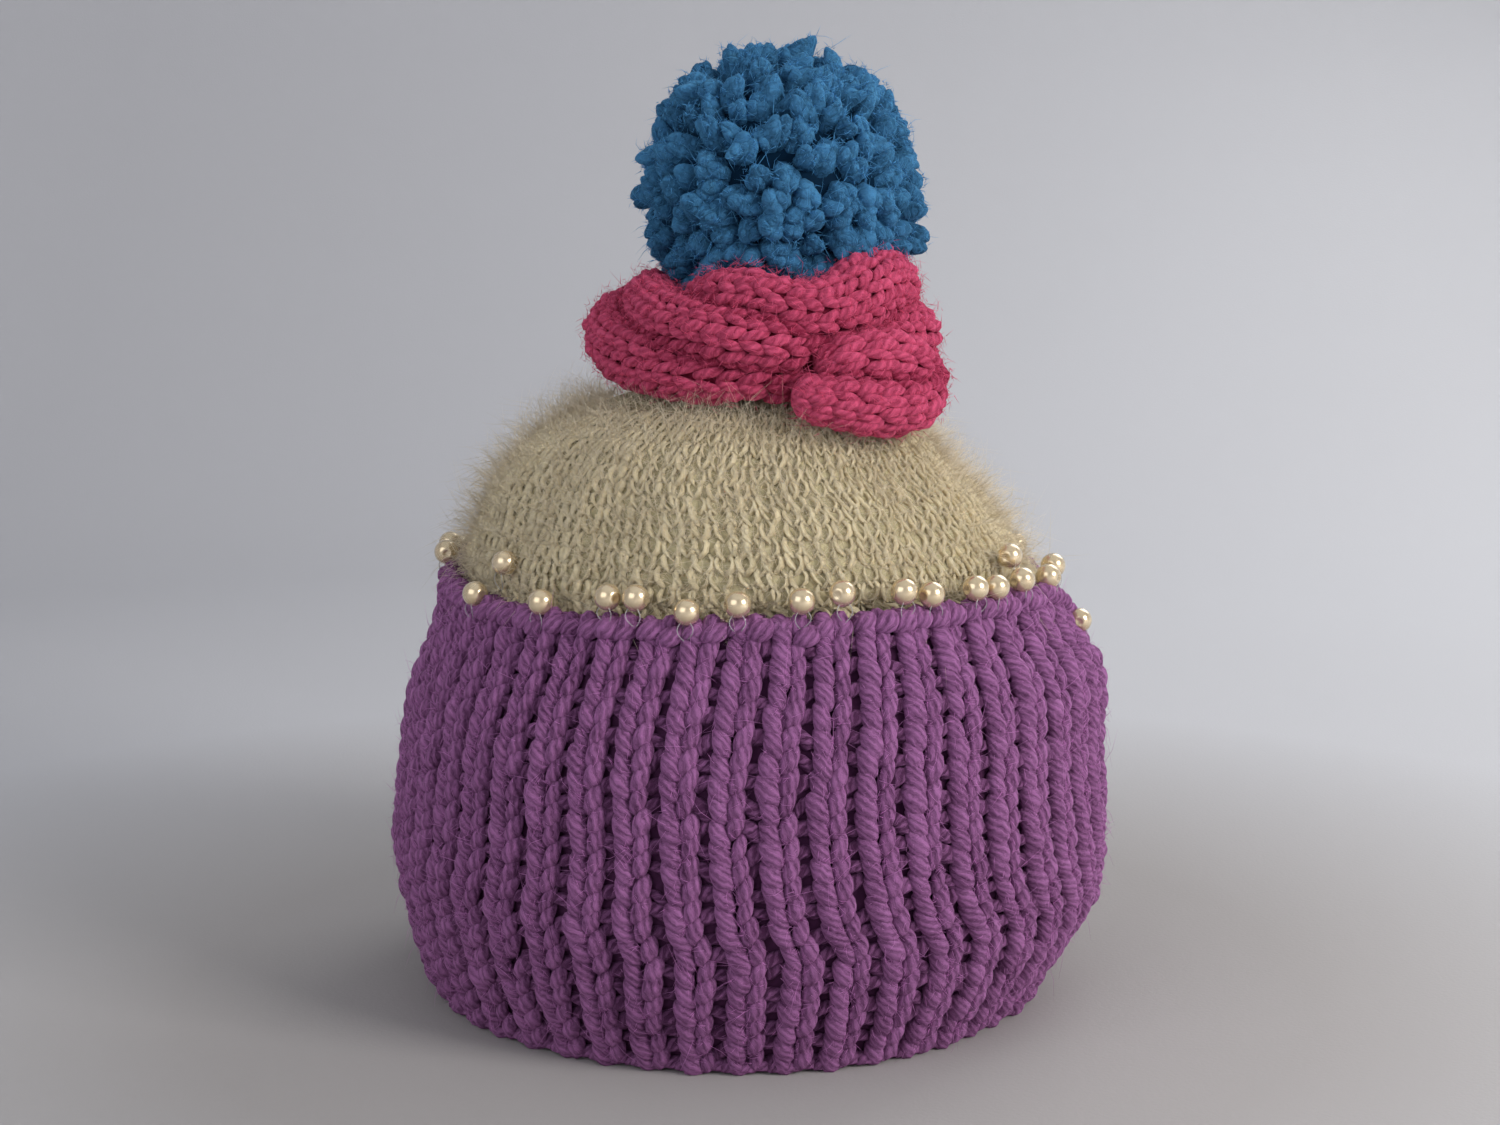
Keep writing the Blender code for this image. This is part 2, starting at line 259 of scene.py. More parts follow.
def curve_at(table, position, column):
    """Values of a column at positions in the table's first column, on a smooth curve."""
    rows = np.asarray(table, float)
    place, value = rows[:, 0], rows[:, column]
    position = np.asarray(position, float)
    start = np.clip(np.searchsorted(place, position) - 1, 0, len(place) - 2)
    end, before, after = start + 1, np.maximum(start - 1, 0), np.minimum(start + 2, len(place) - 1)
    width = place[end] - place[start]
    t = np.clip((position - place[start]) / width, 0.0, 1.0)
    slope_in = (value[end] - value[before]) / (place[end] - place[before]) * width
    slope_out = (value[after] - value[start]) / (place[after] - place[start]) * width
    return ((2 * t ** 3 - 3 * t ** 2 + 1) * value[start] + (t ** 3 - 2 * t ** 2 + t) * slope_in
            + (3 * t ** 2 - 2 * t ** 3) * value[end] + (t ** 3 - t ** 2) * slope_out)


def polar(angle, radius, height, centre=(0.0, 0.0)):
    """Points at angles in degrees, distances from a centre, and heights."""
    turn = np.radians(angle)
    return np.stack(np.broadcast_arrays(centre[0] + radius * np.sin(turn),
                                        centre[1] - radius * np.cos(turn), height), axis=-1)


def body_radius(angle, height):
    """Radius of the rib crests."""
    side = np.sin(np.radians(angle))
    share = side * side
    slot_side = np.where(side > 0, curve_at(BODY, height, WIDE), curve_at(BODY, height, NARROW))
    across = (angle - FLARE_ANGLE) / FLARE_WIDTH
    up = height / FLARE_HEIGHT
    flare = FLARE * np.exp(-across * across - up * up)
    return (1 - share) * curve_at(BODY, height, MIDDLE) + share * slot_side + flare


def inner_radius(angle, height):
    """Radius of a panel's inner face."""
    return body_radius(angle, height) - RIB_HEIGHT - CLOTH


def slot_angle(column, height):
    """Half the angle that a slot or its seam takes up, for a column of SLOTS."""
    half_width = np.maximum(curve_at(SLOTS, height, column), 0.0) + SEAM_GAP / 2
    return np.degrees(half_width / inner_radius((-90.0, 90.0)[column - 1], height))


def panel_angle(share, height, start):
    """Angle of points that lie a share of the way across a panel, which starts at a slot."""
    first, second = (1, 2) if start < 0 else (2, 1)
    from_slot = slot_angle(first, height)
    return start + from_slot + (180.0 - from_slot - slot_angle(second, height)) * share


def panel_place(rib, level, start):
    """Angle and height of points on a panel, by rib and by share of the rim's height."""
    share = rib / RIBS
    rim = curve_at(RIM, (panel_angle(share, 100.0, start) + 90.0) % 360.0 - 90.0, 1)
    height = rim * level
    row = level * PANEL_ROWS
    column = rib * RIB_POINTS
    drift = RIB_DRIFT * np.sin(np.pi * np.clip(share, 0, 1)) * np.sin(0.75 * row + 0.11 * column)
    return panel_angle(share + drift * np.minimum(row, 3) / 3, height, start), height


def panel_point(rib, level, lift, start):
    """Points a lift above the furrows of a panel, and their outward directions."""
    angle, height = panel_place(rib, level, start)
    radius = body_radius(angle, height) - RIB_HEIGHT + lift
    return polar(angle, radius, height), polar(angle, 1.0, 0.0 * height)


def fold_depth(angle, height):
    """How deep the folds press into the mohair top."""
    depth = 0.0
    for fold_angle, middle, half_width, half_length, deep in FOLDS:
        lean = (height - middle) * 0.35
        across = ((angle - fold_angle - lean + 180.0) % 360.0 - 180.0) / half_width
        along = (height - middle) / half_length
        depth = depth + deep * np.exp(-across * across - along * along)
    return depth


def top_surface(angle, height):
    """Points of the mohair top's outer face."""
    tucked = polar(angle, inner_radius(angle, height) - SEAT_GAP, height)
    radius = curve_at(TOP, height, 1) - fold_depth(angle, height)
    closing = np.clip((CROWN - height) / (CROWN - TOP[-1][0]), 0.0, 1.0)
    open_top = polar(angle, radius * closing, height)
    open_top[..., 0] += curve_at(TOP, height, 2)
    return np.where((np.asarray(height) <= TUCK_HEIGHT)[..., None], tucked, open_top)


def unit(vectors):
    """Vectors at length one."""
    return vectors / np.maximum(np.linalg.norm(vectors, axis=-1, keepdims=True), 1e-9)


def top_point(angle, arc, lift):
    """Points above the mohair top by arc length from its hem, and their outward directions."""
    heights = np.linspace(TOP_HEM, CROWN - 0.01, 240)
    profile = top_surface(np.zeros(240), heights)
    run = np.concatenate([[0.0], np.cumsum(np.linalg.norm(np.diff(profile, axis=0), axis=1))])
    height = np.interp(arc, run, heights)
    point = top_surface(angle, height)
    around = top_surface(angle + 0.6, height) - top_surface(angle - 0.6, height)
    up = top_surface(angle, np.interp(arc + 0.5, run, heights)) - top_surface(
        angle, np.interp(arc - 0.5, run, heights))
    outward = unit(np.cross(around, up))
    return point + outward * np.asarray(lift)[..., None], outward


# Meshes from arrays


def pairs(first, second):
    """Every pair of whole numbers below two counts, as two columns."""
    return (axis.reshape(-1, 1).astype(float)
            for axis in np.meshgrid(np.arange(first), np.arange(second), indexing="ij"))


def like_tubes(points, shades, faces):
    """A part of a mesh that is many like tubes: each tube's points and shades, then one tube's faces.

    A kind of face has a name, its corners, and their coordinates round and along the yarn.
    """
    count, each = points.shape[:2]
    part = {"points": points.reshape(-1, 3), "shade": np.ravel(shades)}
    for name, corners, around, along in faces:
        corners = corners + (np.arange(count) * each)[:, None, None]
        place = [np.broadcast_to(axis, corners.shape) for axis in (around, along)]
        part[name] = corners.reshape(-1, corners.shape[-1])
        part[name + "_uv"] = np.stack(place, axis=-1).reshape(-1, 2)
    return part


def sweep(paths, radii, outward, sides, plies=4, lay=7.0, relief=0.0, shade=0.5, lumps=None):
    """Closed yarn tubes along paths, with a relief of their plies and soft lumps where asked.

    The tubes' coordinates count plies round the yarn and along it, so that a crease between
    two plies is where their difference is a whole number.
    """
    count, steps, _ = paths.shape
    forward = unit(np.gradient(paths, axis=1))
    upward = unit(outward - np.sum(outward * forward, axis=-1, keepdims=True) * forward)
    lengths = np.linalg.norm(np.diff(paths, axis=1), axis=-1)
    along = np.concatenate([np.zeros((count, 1)), np.cumsum(lengths, axis=1)], axis=1)
    around = np.arange(sides) / sides
    turn = 2 * np.pi * around
    size = radii[..., None] * (1 + relief * np.cos(2 * np.pi * plies * (around - along[..., None] / lay)))
    if lumps is not None:
        depth, phase = lumps
        size = size * (1 + depth * np.sin(2 * turn + phase[:, :1, None] + along[..., None] / 2)
                       + 0.7 * depth * np.sin(3 * turn + phase[:, 1:, None] - along[..., None] / 3))
    sideways = np.cross(forward, upward)
    rings = paths[:, :, None] + size[..., None] * (np.cos(turn)[:, None] * sideways[:, :, None]
                                                   + np.sin(turn)[:, None] * upward[:, :, None])
    tips = np.stack([paths[:, 0] - 0.5 * radii[:, :1] * forward[:, 0],
                     paths[:, -1] + 0.5 * radii[:, -1:] * forward[:, -1]], axis=1)
    points = np.concatenate([rings.reshape(count, -1, 3), tips], axis=1)
    step, side = (axis.astype(int) for axis in pairs(steps - 1, sides))
    step, side = step + [0, 1, 1, 0], side + [0, 0, 1, 1]
    faces = [("quads", step * sides + side % sides, plies / sides * side, plies / lay * along[:, step])]
    corner = np.arange(sides)[:, None]
    ends = ((0, corner + [0, 1]), (steps - 1, corner + [1, 0]))
    fans = [np.hstack([np.full((sides, 1), steps * sides + tip), at * sides + rim % sides])
            for tip, (at, rim) in enumerate(ends)]
    fan_side = np.concatenate([np.hstack([corner + 0.5, rim]) for _, rim in ends])
    fan_step = np.repeat([[0] * 3, [steps - 1] * 3], sides, axis=0)
    faces.append(("tris", np.concatenate(fans), plies / sides * fan_side, plies / lay * along[:, fan_step]))
    shade = np.broadcast_to(shade, (count, steps))
    shade = np.concatenate([np.repeat(shade, sides, axis=1), shade[:, [0, -1]]], axis=1)
    return like_tubes(points, shade, faces)


def fibres(roots, outward, draw, shortest, longest, thickness, rise, bends=1):
    """Loose hairs that leave a surface, bend and end in a point; with no bends they are straight spikes."""
    count = len(roots)
    length = draw.uniform(shortest, longest, (count, 1, 1))
    flat = unit(np.cross(outward, draw.normal(size=(count, 3))))
    bend = unit(np.cross(outward, draw.normal(size=(count, 3)))) - 0.25 * outward
    leave = unit(flat + outward * draw.uniform(0.1, 1.0, (count, 1)) * rise)
    share = np.linspace(0, 1, bends + 2)[None, :, None]
    curve = 0.7 * bend[:, None] * share ** 2 if bends else 0.0
    paths = roots[:, None] + length * (leave[:, None] * share + curve)
    forward = unit(np.gradient(paths, axis=1))
    side = unit(np.cross(forward, outward[:, None] + 0.01))
    other = np.cross(forward, side)
    size = thickness * draw.uniform(0.7, 1.2, (count, 1, 1, 1)) * (1 - 0.4 * share[:, :-1, None])
    turn = (2 * np.pi / 3 * np.arange(3))[:, None]
    rings = paths[:, :-1, None] + size * (np.cos(turn) * side[:, :-1, None]
                                          + np.sin(turn) * other[:, :-1, None])
    points = np.concatenate([rings.reshape(count, -1, 3), paths[:, -1:]], axis=1)
    last, tip = 3 * bends, 3 * bends + 3
    corner, following = np.arange(3), np.array([1, 2, 0])
    faces = [("quads", 3 * ring + np.stack([corner, following, following + 3, corner + 3], axis=-1), 0.0, 0.0)
             for ring in range(bends)] or [("quads", np.zeros((0, 4), int), 0.0, 0.0)]
    point = np.stack([last + corner, last + following, np.full(3, tip)], axis=-1)
    faces.append(("tris", np.concatenate([point, [[0, 2, 1]]]), 0.0, 0.0))
    return like_tubes(points, np.repeat(draw.uniform(0.3, 1.0, count), tip + 1), faces)


def yarn_object(name, swept, material, on_ground=False):
    """One mesh object of swept parts, with nothing below the ground where it stands on it."""
    offsets = np.cumsum([0] + [len(part["points"]) for part in swept[:-1]])
    joined = {key: np.concatenate([part[key] + (offset if key in ("quads", "tris") else 0)
                                   for part, offset in zip(swept, offsets)]) for key in swept[0]}
    points, quads, tris = joined["points"] * MM, joined["quads"], joined["tris"]
    if on_ground:
        points[:, 2] = np.maximum(points[:, 2], 0.0)
    starts = np.concatenate([np.arange(len(quads)) * 4, quads.size + np.arange(len(tris)) * 3])
    mesh = bpy.data.meshes.new(name)
    mesh.vertices.add(len(points))
    set_points(mesh, points)
    mesh.loops.add(quads.size + tris.size)
    mesh.loops.foreach_set("vertex_index", np.concatenate([quads.ravel(), tris.ravel()]).astype(np.int32))
    mesh.polygons.add(len(starts))
    mesh.polygons.foreach_set("loop_start", starts.astype(np.int32))
    uv = np.concatenate([joined["quads_uv"], joined["tris_uv"]])
    mesh.uv_layers.new(name="ply")
    mesh.uv_layers["ply"].data.foreach_set("uv", uv.astype(np.float32).ravel())
    shade = mesh.attributes.new("shade", "FLOAT", "POINT")
    shade.data.foreach_set("value", joined["shade"].astype(np.float32))
    mesh.update(calc_edges=True)
    mesh.shade_smooth()
    mesh.materials.append(bpy.data.materials[material])
    obj = bpy.data.objects.new(name, mesh)
    bpy.context.scene.collection.objects.link(obj)
    return obj


# Materials


def set_inputs(node, values):
    """Set or link inputs of a node, by their place or name."""
    for key, value in values.items():
        socket = node.inputs[key]
        if isinstance(value, bpy.types.NodeSocket):
            node.id_data.links.new(value, socket)
        elif socket.type == "RGBA":
            socket.default_value = (*value, 1.0)
        else:
            socket.default_value = value


def add_node(tree, kind, *values, output=0, **named):
    """Add a shader node with its settings, inputs and links, and return one of its outputs.

    Values go to the inputs in order. Names with a capital are inputs, and the others are settings.
    """
    made = tree.nodes.new("ShaderNode" + kind)
    inputs = dict(enumerate(values))
    for name, value in named.items():
        if name[0].isupper():
            inputs[name] = value
        else:
            setattr(made, name, value)
    set_inputs(made, inputs)
    return made.outputs[output]


def weighted_sum(tree, *terms, start=0.0):
    """Output that adds up values, each times its weight."""
    for value, weight in terms:
        start = add_node(tree, "Math", value, weight, start, operation="MULTIPLY_ADD")
    return start


def new_material(name):
    """Node tree and Principled shader of a new material."""
    material = bpy.data.materials.new(name)
    material.use_nodes = True
    return material.node_tree, material.node_tree.nodes["Principled BSDF"]


def finish_material(shader, colour, height, values, strength=1.0):
    """Give the shader its colour, its bump, whose height is in metres, and its other values."""
    bump = add_node(shader.id_data, "Bump", Height=height, Strength=strength, Distance=1.0)
    set_inputs(shader, {"Base Color": colour, "Normal": bump, **values})


def wool_material(name, dark, light, crease_depth, fibre_depth, sheen, base=0.0, ply_share=0.45, hair=0.5):
    """Plied wool: dull and soft, with painted shade in the creases between plies and fine hairs along them.
    """
    tree, shader = new_material(name)
    node = partial(add_node, tree)
    ply = node("UVMap", uv_map="ply")
    shade = node("Attribute", attribute_name="shade", output="Fac")
    place = node("TexCoord", output="Object")
    along = node("SeparateXYZ", ply, output=1)
    blur = node("TexNoise", place, Scale=380.0, Detail=3.0, Roughness=0.6)
    across = weighted_sum(tree, (node("SeparateXYZ", ply), 1.0), (along, -1.0), (blur, 1.1))
    wave = node("Math", weighted_sum(tree, (across, 2 * math.pi)), operation="COSINE")
    ridge = node("MapRange", wave, -1.0, 1.0, 0.0, 1.0)
    combed = node("VectorMath", node("CombineXYZ", across, along, shade), (6.0, 1.3, 40.0),
                  operation="MULTIPLY")
    hairs = node("TexNoise", combed, Scale=1.0, Detail=5.0, Roughness=0.75)
    patches = node("TexNoise", place, Scale=240.0, Detail=3.0, Roughness=0.6)
    # Painted shade: the ridge term darkens the creases between plies, and the shade attribute brings painted
    # shade and light along with random tone.
    lightness = weighted_sum(tree, (ridge, ply_share), (shade, 1.0),
                             (node("MapRange", hairs, 0.25, 0.75, -hair, hair), 1.0),
                             (node("MapRange", patches, 0.3, 0.7, -0.16, 0.16), 1.0),
                             start=base - ply_share / 2)
    height = weighted_sum(tree, (ridge, crease_depth * MM), (hairs, fibre_depth * MM), (patches, 0.5 * MM))
    finish_material(shader, node("MixRGB", lightness, dark, light), height,
                    {**WOOL, "Subsurface Radius": (1.0, 1.0, 1.0), "Subsurface Scale": 0.8 * MM,
                     "Sheen Weight": sheen, "Sheen Tint": light})


def hair_material(name, colour, glow=0.0):
    """Single hairs: a soft even colour that lets light through, so that they read as haze."""
    tree, shader = new_material(name)
    shade = add_node(tree, "Attribute", attribute_name="shade", output="Fac")
    tint = add_node(tree, "MixRGB", shade, 0.75 * colour, colour)
    set_inputs(shader, {"Base Color": tint, "Roughness": 0.6, "Specular IOR Level": 0.3,
                        "Transmission Weight": glow, "IOR": 1.1})


def cloth_material(name, dark, light, across, along):
    """The cloth behind the yarn: its loops show as a fine knit bump and as light spots, with painted shade as
    dark spots in the holes between them.
    """
    tree, shader = new_material(name)
    node = partial(add_node, tree)
    place = node("UVMap", uv_map="UVMap")
    side = weighted_sum(tree, (node("SeparateXYZ", place), 2 * math.pi * across))
    bow = node("Math", node("Math", weighted_sum(tree, (side, 0.5)), operation="SINE"), operation="ABSOLUTE")
    rise = weighted_sum(tree, (node("SeparateXYZ", place, output=1), 2 * math.pi * along), (bow, 2.6))
    rows = node("MapRange", node("Math", rise, operation="COSINE"), -1.0, 1.0, 0.0, 1.0)
    columns = node("MapRange", node("Math", side, operation="COSINE"), -1.0, 1.0, 1.0, 0.35)
    loops = node("Math", rows, columns, operation="MULTIPLY")
    noise = node("TexNoise", node("TexCoord", output="Object"), Scale=700.0, Detail=4.0)
    lightness = node("Math", weighted_sum(tree, (loops, 1.0), start=0.25), noise, operation="MULTIPLY")
    finish_material(shader, node("MixRGB", lightness, dark, light),
                    weighted_sum(tree, (loops, 0.7 * MM), (noise, 0.25 * MM)), MATT_CLOTH)


def roving_material(name, dark, light):
    """Thick soft roving: combed fibres run along each tuft, and its root is darker with painted shade."""
    tree, shader = new_material(name)
    node = partial(add_node, tree)
    ply = node("UVMap", uv_map="ply")
    shade = node("Attribute", attribute_name="shade", output="Fac")
    place = node("TexCoord", output="Object")
    waver = node("TexNoise", place, Scale=230.0, Detail=3.0)
    combed = node("CombineXYZ", weighted_sum(tree, (node("SeparateXYZ", ply), 9.0), (waver, 12.0)),
                  weighted_sum(tree, (node("SeparateXYZ", ply, output=1), 5.0)),
                  weighted_sum(tree, (shade, 9.0)))
    strands = node("TexNoise", combed, Scale=1.0, Detail=5.0, Roughness=0.75)
    lumps = node("TexNoise", place, Scale=420.0, Detail=4.0, Roughness=0.7)
    lightness = weighted_sum(tree, (node("MapRange", strands, 0.3, 0.7, -0.5, 0.6), 1.0), (shade, 1.0),
                             (node("MapRange", lumps, 0.3, 0.7, -0.2, 0.2), 1.0))
    finish_material(shader, node("MixRGB", lightness, dark, light),
                    weighted_sum(tree, (strands, 1.1 * MM), (lumps, 0.4 * MM)),
                    {**WOOL, "Subsurface Radius": (0.6, 0.8, 1.0), "Subsurface Scale": 1.4 * MM,
                     "Sheen Weight": 0.5, "Sheen Tint": light})


def pearl_material(name, colour):
    """Imitation pearl: a golden lacquer that mirrors softly under a clear coat."""
    tree, shader = new_material(name)
    cloud = add_node(tree, "TexNoise", add_node(tree, "TexCoord", output="Object"), Scale=420.0, Detail=1.0)
    warm = colour * np.array([0.85, 0.78, 0.68])
    set_inputs(shader, {"Base Color": add_node(tree, "MixRGB", cloud, warm, colour), "Metallic": 0.7,
                        "Roughness": 0.24, "Coat Weight": 1.0, "Coat Roughness": 0.03})


def thread_material(name):
    """Clear sewing thread: it only shows by its glints."""
    set_inputs(new_material(name)[1], {"Base Color": (0.9, 0.9, 0.9), "Roughness": 0.12,
                                       "Transmission Weight": 0.7, "IOR": 1.5})


def backing_material(name, wall, floor, shaded):
    """Pale matt cloth with a faint grain, with painted shade: greyer near the cosy and on the side away from
    the key light.
    """
    tree, shader = new_material(name)
    node = partial(add_node, tree)
    place = node("TexCoord", output="Object")
    grain = node("TexNoise", place, Scale=900.0, Detail=2.0)
    clouds = node("TexNoise", place, Scale=2.5, Detail=1.0)
    distance = node("VectorMath", place, operation="LENGTH", output="Value")
    # Painted shade: the floor is greyer near the cosy, and the whole cloth on the side away from the key
    # light.
    tone = node("MixRGB", node("MapRange", distance, 0.14, 0.34, 0.0, 1.0), floor, wall)
    lit = node("MapRange", node("SeparateXYZ", place), -0.45, 0.45, 0.0, 1.0)
    tone = node("MixRGB", 1.0, tone, node("MixRGB", lit, shaded, (1.0, 1.0, 1.0)), blend_type="MULTIPLY")
    tone = node("MixRGB", weighted_sum(tree, (clouds, 0.12)), tone, floor)
    finish_material(shader, tone, weighted_sum(tree, (grain, 0.12 * MM)), MATT_CLOTH, strength=0.6)


# Blender helpers


def select_only(*objects):
    """Deselect everything, so that the next operators act on these objects or a new one only."""
    bpy.ops.object.select_all(action="DESELECT")
    for obj in objects:
        obj.select_set(True)
        bpy.context.view_layer.objects.active = objects[0]


def edit_all(operator, **settings):
    """Run a mesh operator on all of the active object in edit mode."""
    bpy.ops.object.mode_set(mode="EDIT")
    bpy.ops.mesh.select_all(action="SELECT")
    operator(**settings)
    bpy.ops.object.mode_set(mode="OBJECT")


def get_points(mesh):
    """Points of a mesh."""
    flat = np.empty(len(mesh.vertices) * 3, np.float32)
    mesh.vertices.foreach_get("co", flat)
    return flat.reshape(-1, 3).astype(float)


def set_points(mesh, points):
    """Move a mesh's points."""
    mesh.vertices.foreach_set("co", points.astype(np.float32).ravel())


def shaped_grid(name, columns, rows, surface, closed, thickness, material):
    """A sheet with a thickness: a grid laid on a surface, closed into a ring where asked."""
    select_only()
    bpy.ops.mesh.primitive_grid_add(x_subdivisions=columns, y_subdivisions=rows, size=2.0)
    sheet = bpy.context.object
    sheet.name = sheet.data.name = name
    across, up = (get_points(sheet.data)[:, :2].T + 1) / 2
    set_points(sheet.data, surface(across, up) * MM)
    if closed:
        edit_all(bpy.ops.mesh.remove_doubles, threshold=0.00002)
    bpy.ops.object.modifier_add(type="SOLIDIFY")
    sheet.modifiers[0].thickness = thickness * MM
    sheet.modifiers[0].offset = -1.0
    bpy.ops.object.modifier_apply(modifier=sheet.modifiers[0].name)
    edit_all(bpy.ops.mesh.normals_make_consistent, inside=False)
    bpy.ops.object.shade_smooth()
    sheet.data.materials.append(bpy.data.materials[material])
    return sheet


def place_pieces(slot_name, *pieces):
    """The pieces ride on the part's one body; slot_name is not used."""
    for piece in pieces:
        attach(piece, "root")


# Pieces


def rib_legs(rows, leg, start, draw):
    """One leg of every rib stitch of a panel: it leans, bulges and dips at its ends."""
    steps, sides, radius, taper, lean, rib_place, deep, high, overlap, bow, offset, plies, lay, bright = leg
    share = np.linspace(0, 1, steps)
    rib, row = pairs(RIBS, rows)
    column_wave = draw.uniform(0, 6.28, RIBS)[rib.astype(int)]
    sway = 0.022 * np.sin(row * 0.8 + column_wave) + draw.normal(0, 0.015, rib.shape)
    slip = draw.normal(0, 0.07, rib.shape)
    bulge = np.sin(np.pi * share) ** 0.8
    across = rib + rib_place + sway + lean * (share - 0.5) + bow * bulge
    level = (row + offset - overlap + (1 + 2 * overlap) * share + slip) / rows
    lift = deep + (high - deep) * bulge + draw.normal(0, 0.14, rib.shape)
    swell = np.sin(np.pi * share) ** 0.6
    size = radius * draw.normal(1.0, 0.09, rib.shape) * (taper + (1 - taper) * swell)
    # Painted shade darkens the ends of each leg, where it dips; the rest is random tone.
    shade = (bright + draw.normal(0, 0.06, rib.shape)) * (0.72 + 0.28 * swell)
    return panel_tubes(across, np.clip(level, 0.004, 1.0), lift, start, size, sides, plies, lay, 0.0, shade)


def panel_tubes(across, level, lift, start, radius, *rest):
    """Tubes along rows of points on a panel."""
    paths, outward = panel_point(across, level, lift, start)
    return sweep(paths, np.broadcast_to(radius, paths.shape[:2]), outward, *rest)


def make_panel(name, start, sizes, draw):
    """One ribbed panel: the cloth behind, rope-like left legs, leaning right legs, purl bars and edges.

    The yarn's half thickness is named for the purl bars, the bind-off, the rows behind it and at the hem,
    and the knots of the side edges.
    """
    rows = sizes.rib_rows
    bar, bind, row_behind, knot = 1.75, 2.35, 1.6, 1.35
    sheet = shaped_grid(f"{name}_cloth", RIBS * 4, 26,
                        lambda across, up: panel_point(across * RIBS, up * 0.995, -0.8, start)[0],
                        False, CLOTH - 1.0, "purple knit ground in painted shade")
    tubes = []
    for (steps, sides, taper, *rest), yarn in zip(RIB_LEGS, (sizes.rope_yarn, sizes.thin_yarn)):
        tubes.append(rib_legs(rows, (steps, sides, yarn / MM / 2, taper, *rest), start, draw))

    # Purl bars between the ribs, low and arched, and darkened with painted shade of the furrows
    row, rib = pairs(rows, RIBS)
    reach = np.linspace(-0.16, 0.16, 4)
    arch = 1 - (reach / 0.16) ** 2
    tilt = draw.normal(0.0, 0.14, rib.shape) * reach / 0.16
    across = rib + 0.905 + reach + draw.normal(0, 0.03, rib.shape)
    level = (row + 0.5 + 0.1 * arch + tilt + draw.normal(0, 0.14, rib.shape)) / rows
    lift = -0.70 + 0.35 * arch + draw.normal(0, 0.22, rib.shape)
    tubes.append(panel_tubes(np.minimum(across, RIBS - 0.04), np.clip(level, 0.01, 0.99), lift, start,
                             bar * draw.normal(1, 0.14, rib.shape), 5, 4, 7.0, 0.0,
                             0.16 + draw.normal(0, 0.08, rib.shape)))

    # The bind-off along the rim, its back row, and the hem
    each = (RIBS * 2, 1)
    share = np.linspace(0, 1, 7)
    bow = np.sin(np.pi * share)
    number = np.arange(RIBS * 2)[:, None]
    across = (number + 0.5) / 2 - 0.29 + 0.58 * share + draw.normal(0, 0.035, each)
    level = 0.967 + 0.020 * share + 0.004 * bow + draw.normal(0, 0.005, each)
    lift = 0.6 + 1.7 * bow - 2.2 * share ** 2 + draw.normal(0, 0.3, each)
    # The bind-off's lumps get painted shade towards their ends.
    tubes.append(panel_tubes(np.clip(across, 0.1, RIBS - 0.1), level, lift, start,
                             bind * (0.45 + 0.55 * bow) * draw.normal(1, 0.10, each), 10, 7, 13.0, 0.0,
                             0.60 + draw.normal(0, 0.05, each) - 0.12 * (1 - bow)))
    tubes.append(panel_tubes(np.clip(across + 0.25, 0.1, RIBS - 0.1), level + 0.002, lift - 2.6, start,
                             row_behind * (0.7 + 0.3 * bow), 6, 4, 7.6, 0.05,
                             0.5 + draw.normal(0, 0.05, each)))
    hem_bow = np.sin(np.linspace(0, np.pi, 6))
    hem_across = np.clip((number + 0.5) / 2 + np.linspace(-0.33, 0.33, 6), 0.1, RIBS - 0.1)
    tubes.append(panel_tubes(hem_across, 0.017 + 0.004 * hem_bow + 0.0 * number,
                             -0.3 + 0.9 * hem_bow + 0.9 * (number % 2 == 0), start,
                             row_behind, 6, 4, 7.6, 0.05, 0.5 + draw.normal(0, 0.05, each)))

    # The knots up both side edges
    knots = rows * 2
    number = np.arange(knots)[:, None]
    for edge, way in ((0.0, 1.0), (float(RIBS), -1.0)):
        level = (number + 0.5 + 1.15 * (share - 0.5)) / knots
        across = edge + way * (0.10 + 0.06 * bow) + draw.normal(0, 0.01, (knots, 1))
        lift = -0.6 + 1.2 * (share - 0.5) * (1 - 2 * (number % 2))
        tubes.append(panel_tubes(across, np.clip(level, 0.012, 0.995), lift, start,
                                 knot * (0.75 + 0.25 * bow), 6, 4, 7.0, 0.05,
                                 0.52 + draw.normal(0, 0.05, (knots, 1))))
    yarn = yarn_object(f"{name}_yarn", tubes, "purple plied wool", on_ground=True)

    def hair_roots(count):
        rib_at = draw.integers(0, RIBS, count) + np.clip(draw.normal(0.40, 0.16, count), 0.02, 0.74)
        return panel_point(np.clip(rib_at, 0.15, RIBS - 0.15), draw.uniform(0.03, 1.0, count),
                           draw.uniform(1.4, 2.6, count), start)

    fuzz = fibres(*hair_roots(sizes.purple_fuzz), draw, 1.0, 3.2, 0.075, 1.1, bends=0)
    loose = fibres(*hair_roots(sizes.purple_hairs), draw, 3.0, 8.0, 0.05, 1.1)
    hairs = yarn_object(f"{name}_hairs", [fuzz, loose], "purple wool hairs", on_ground=True)
    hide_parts(name)
    place_pieces("purple_wool", sheet, yarn, hairs)


def make_panels(sizes, draw):
    """The front and the back panel."""
    make_panel("front_panel", -90.0, sizes, draw)
    make_panel("back_panel", 90.0, sizes, draw)


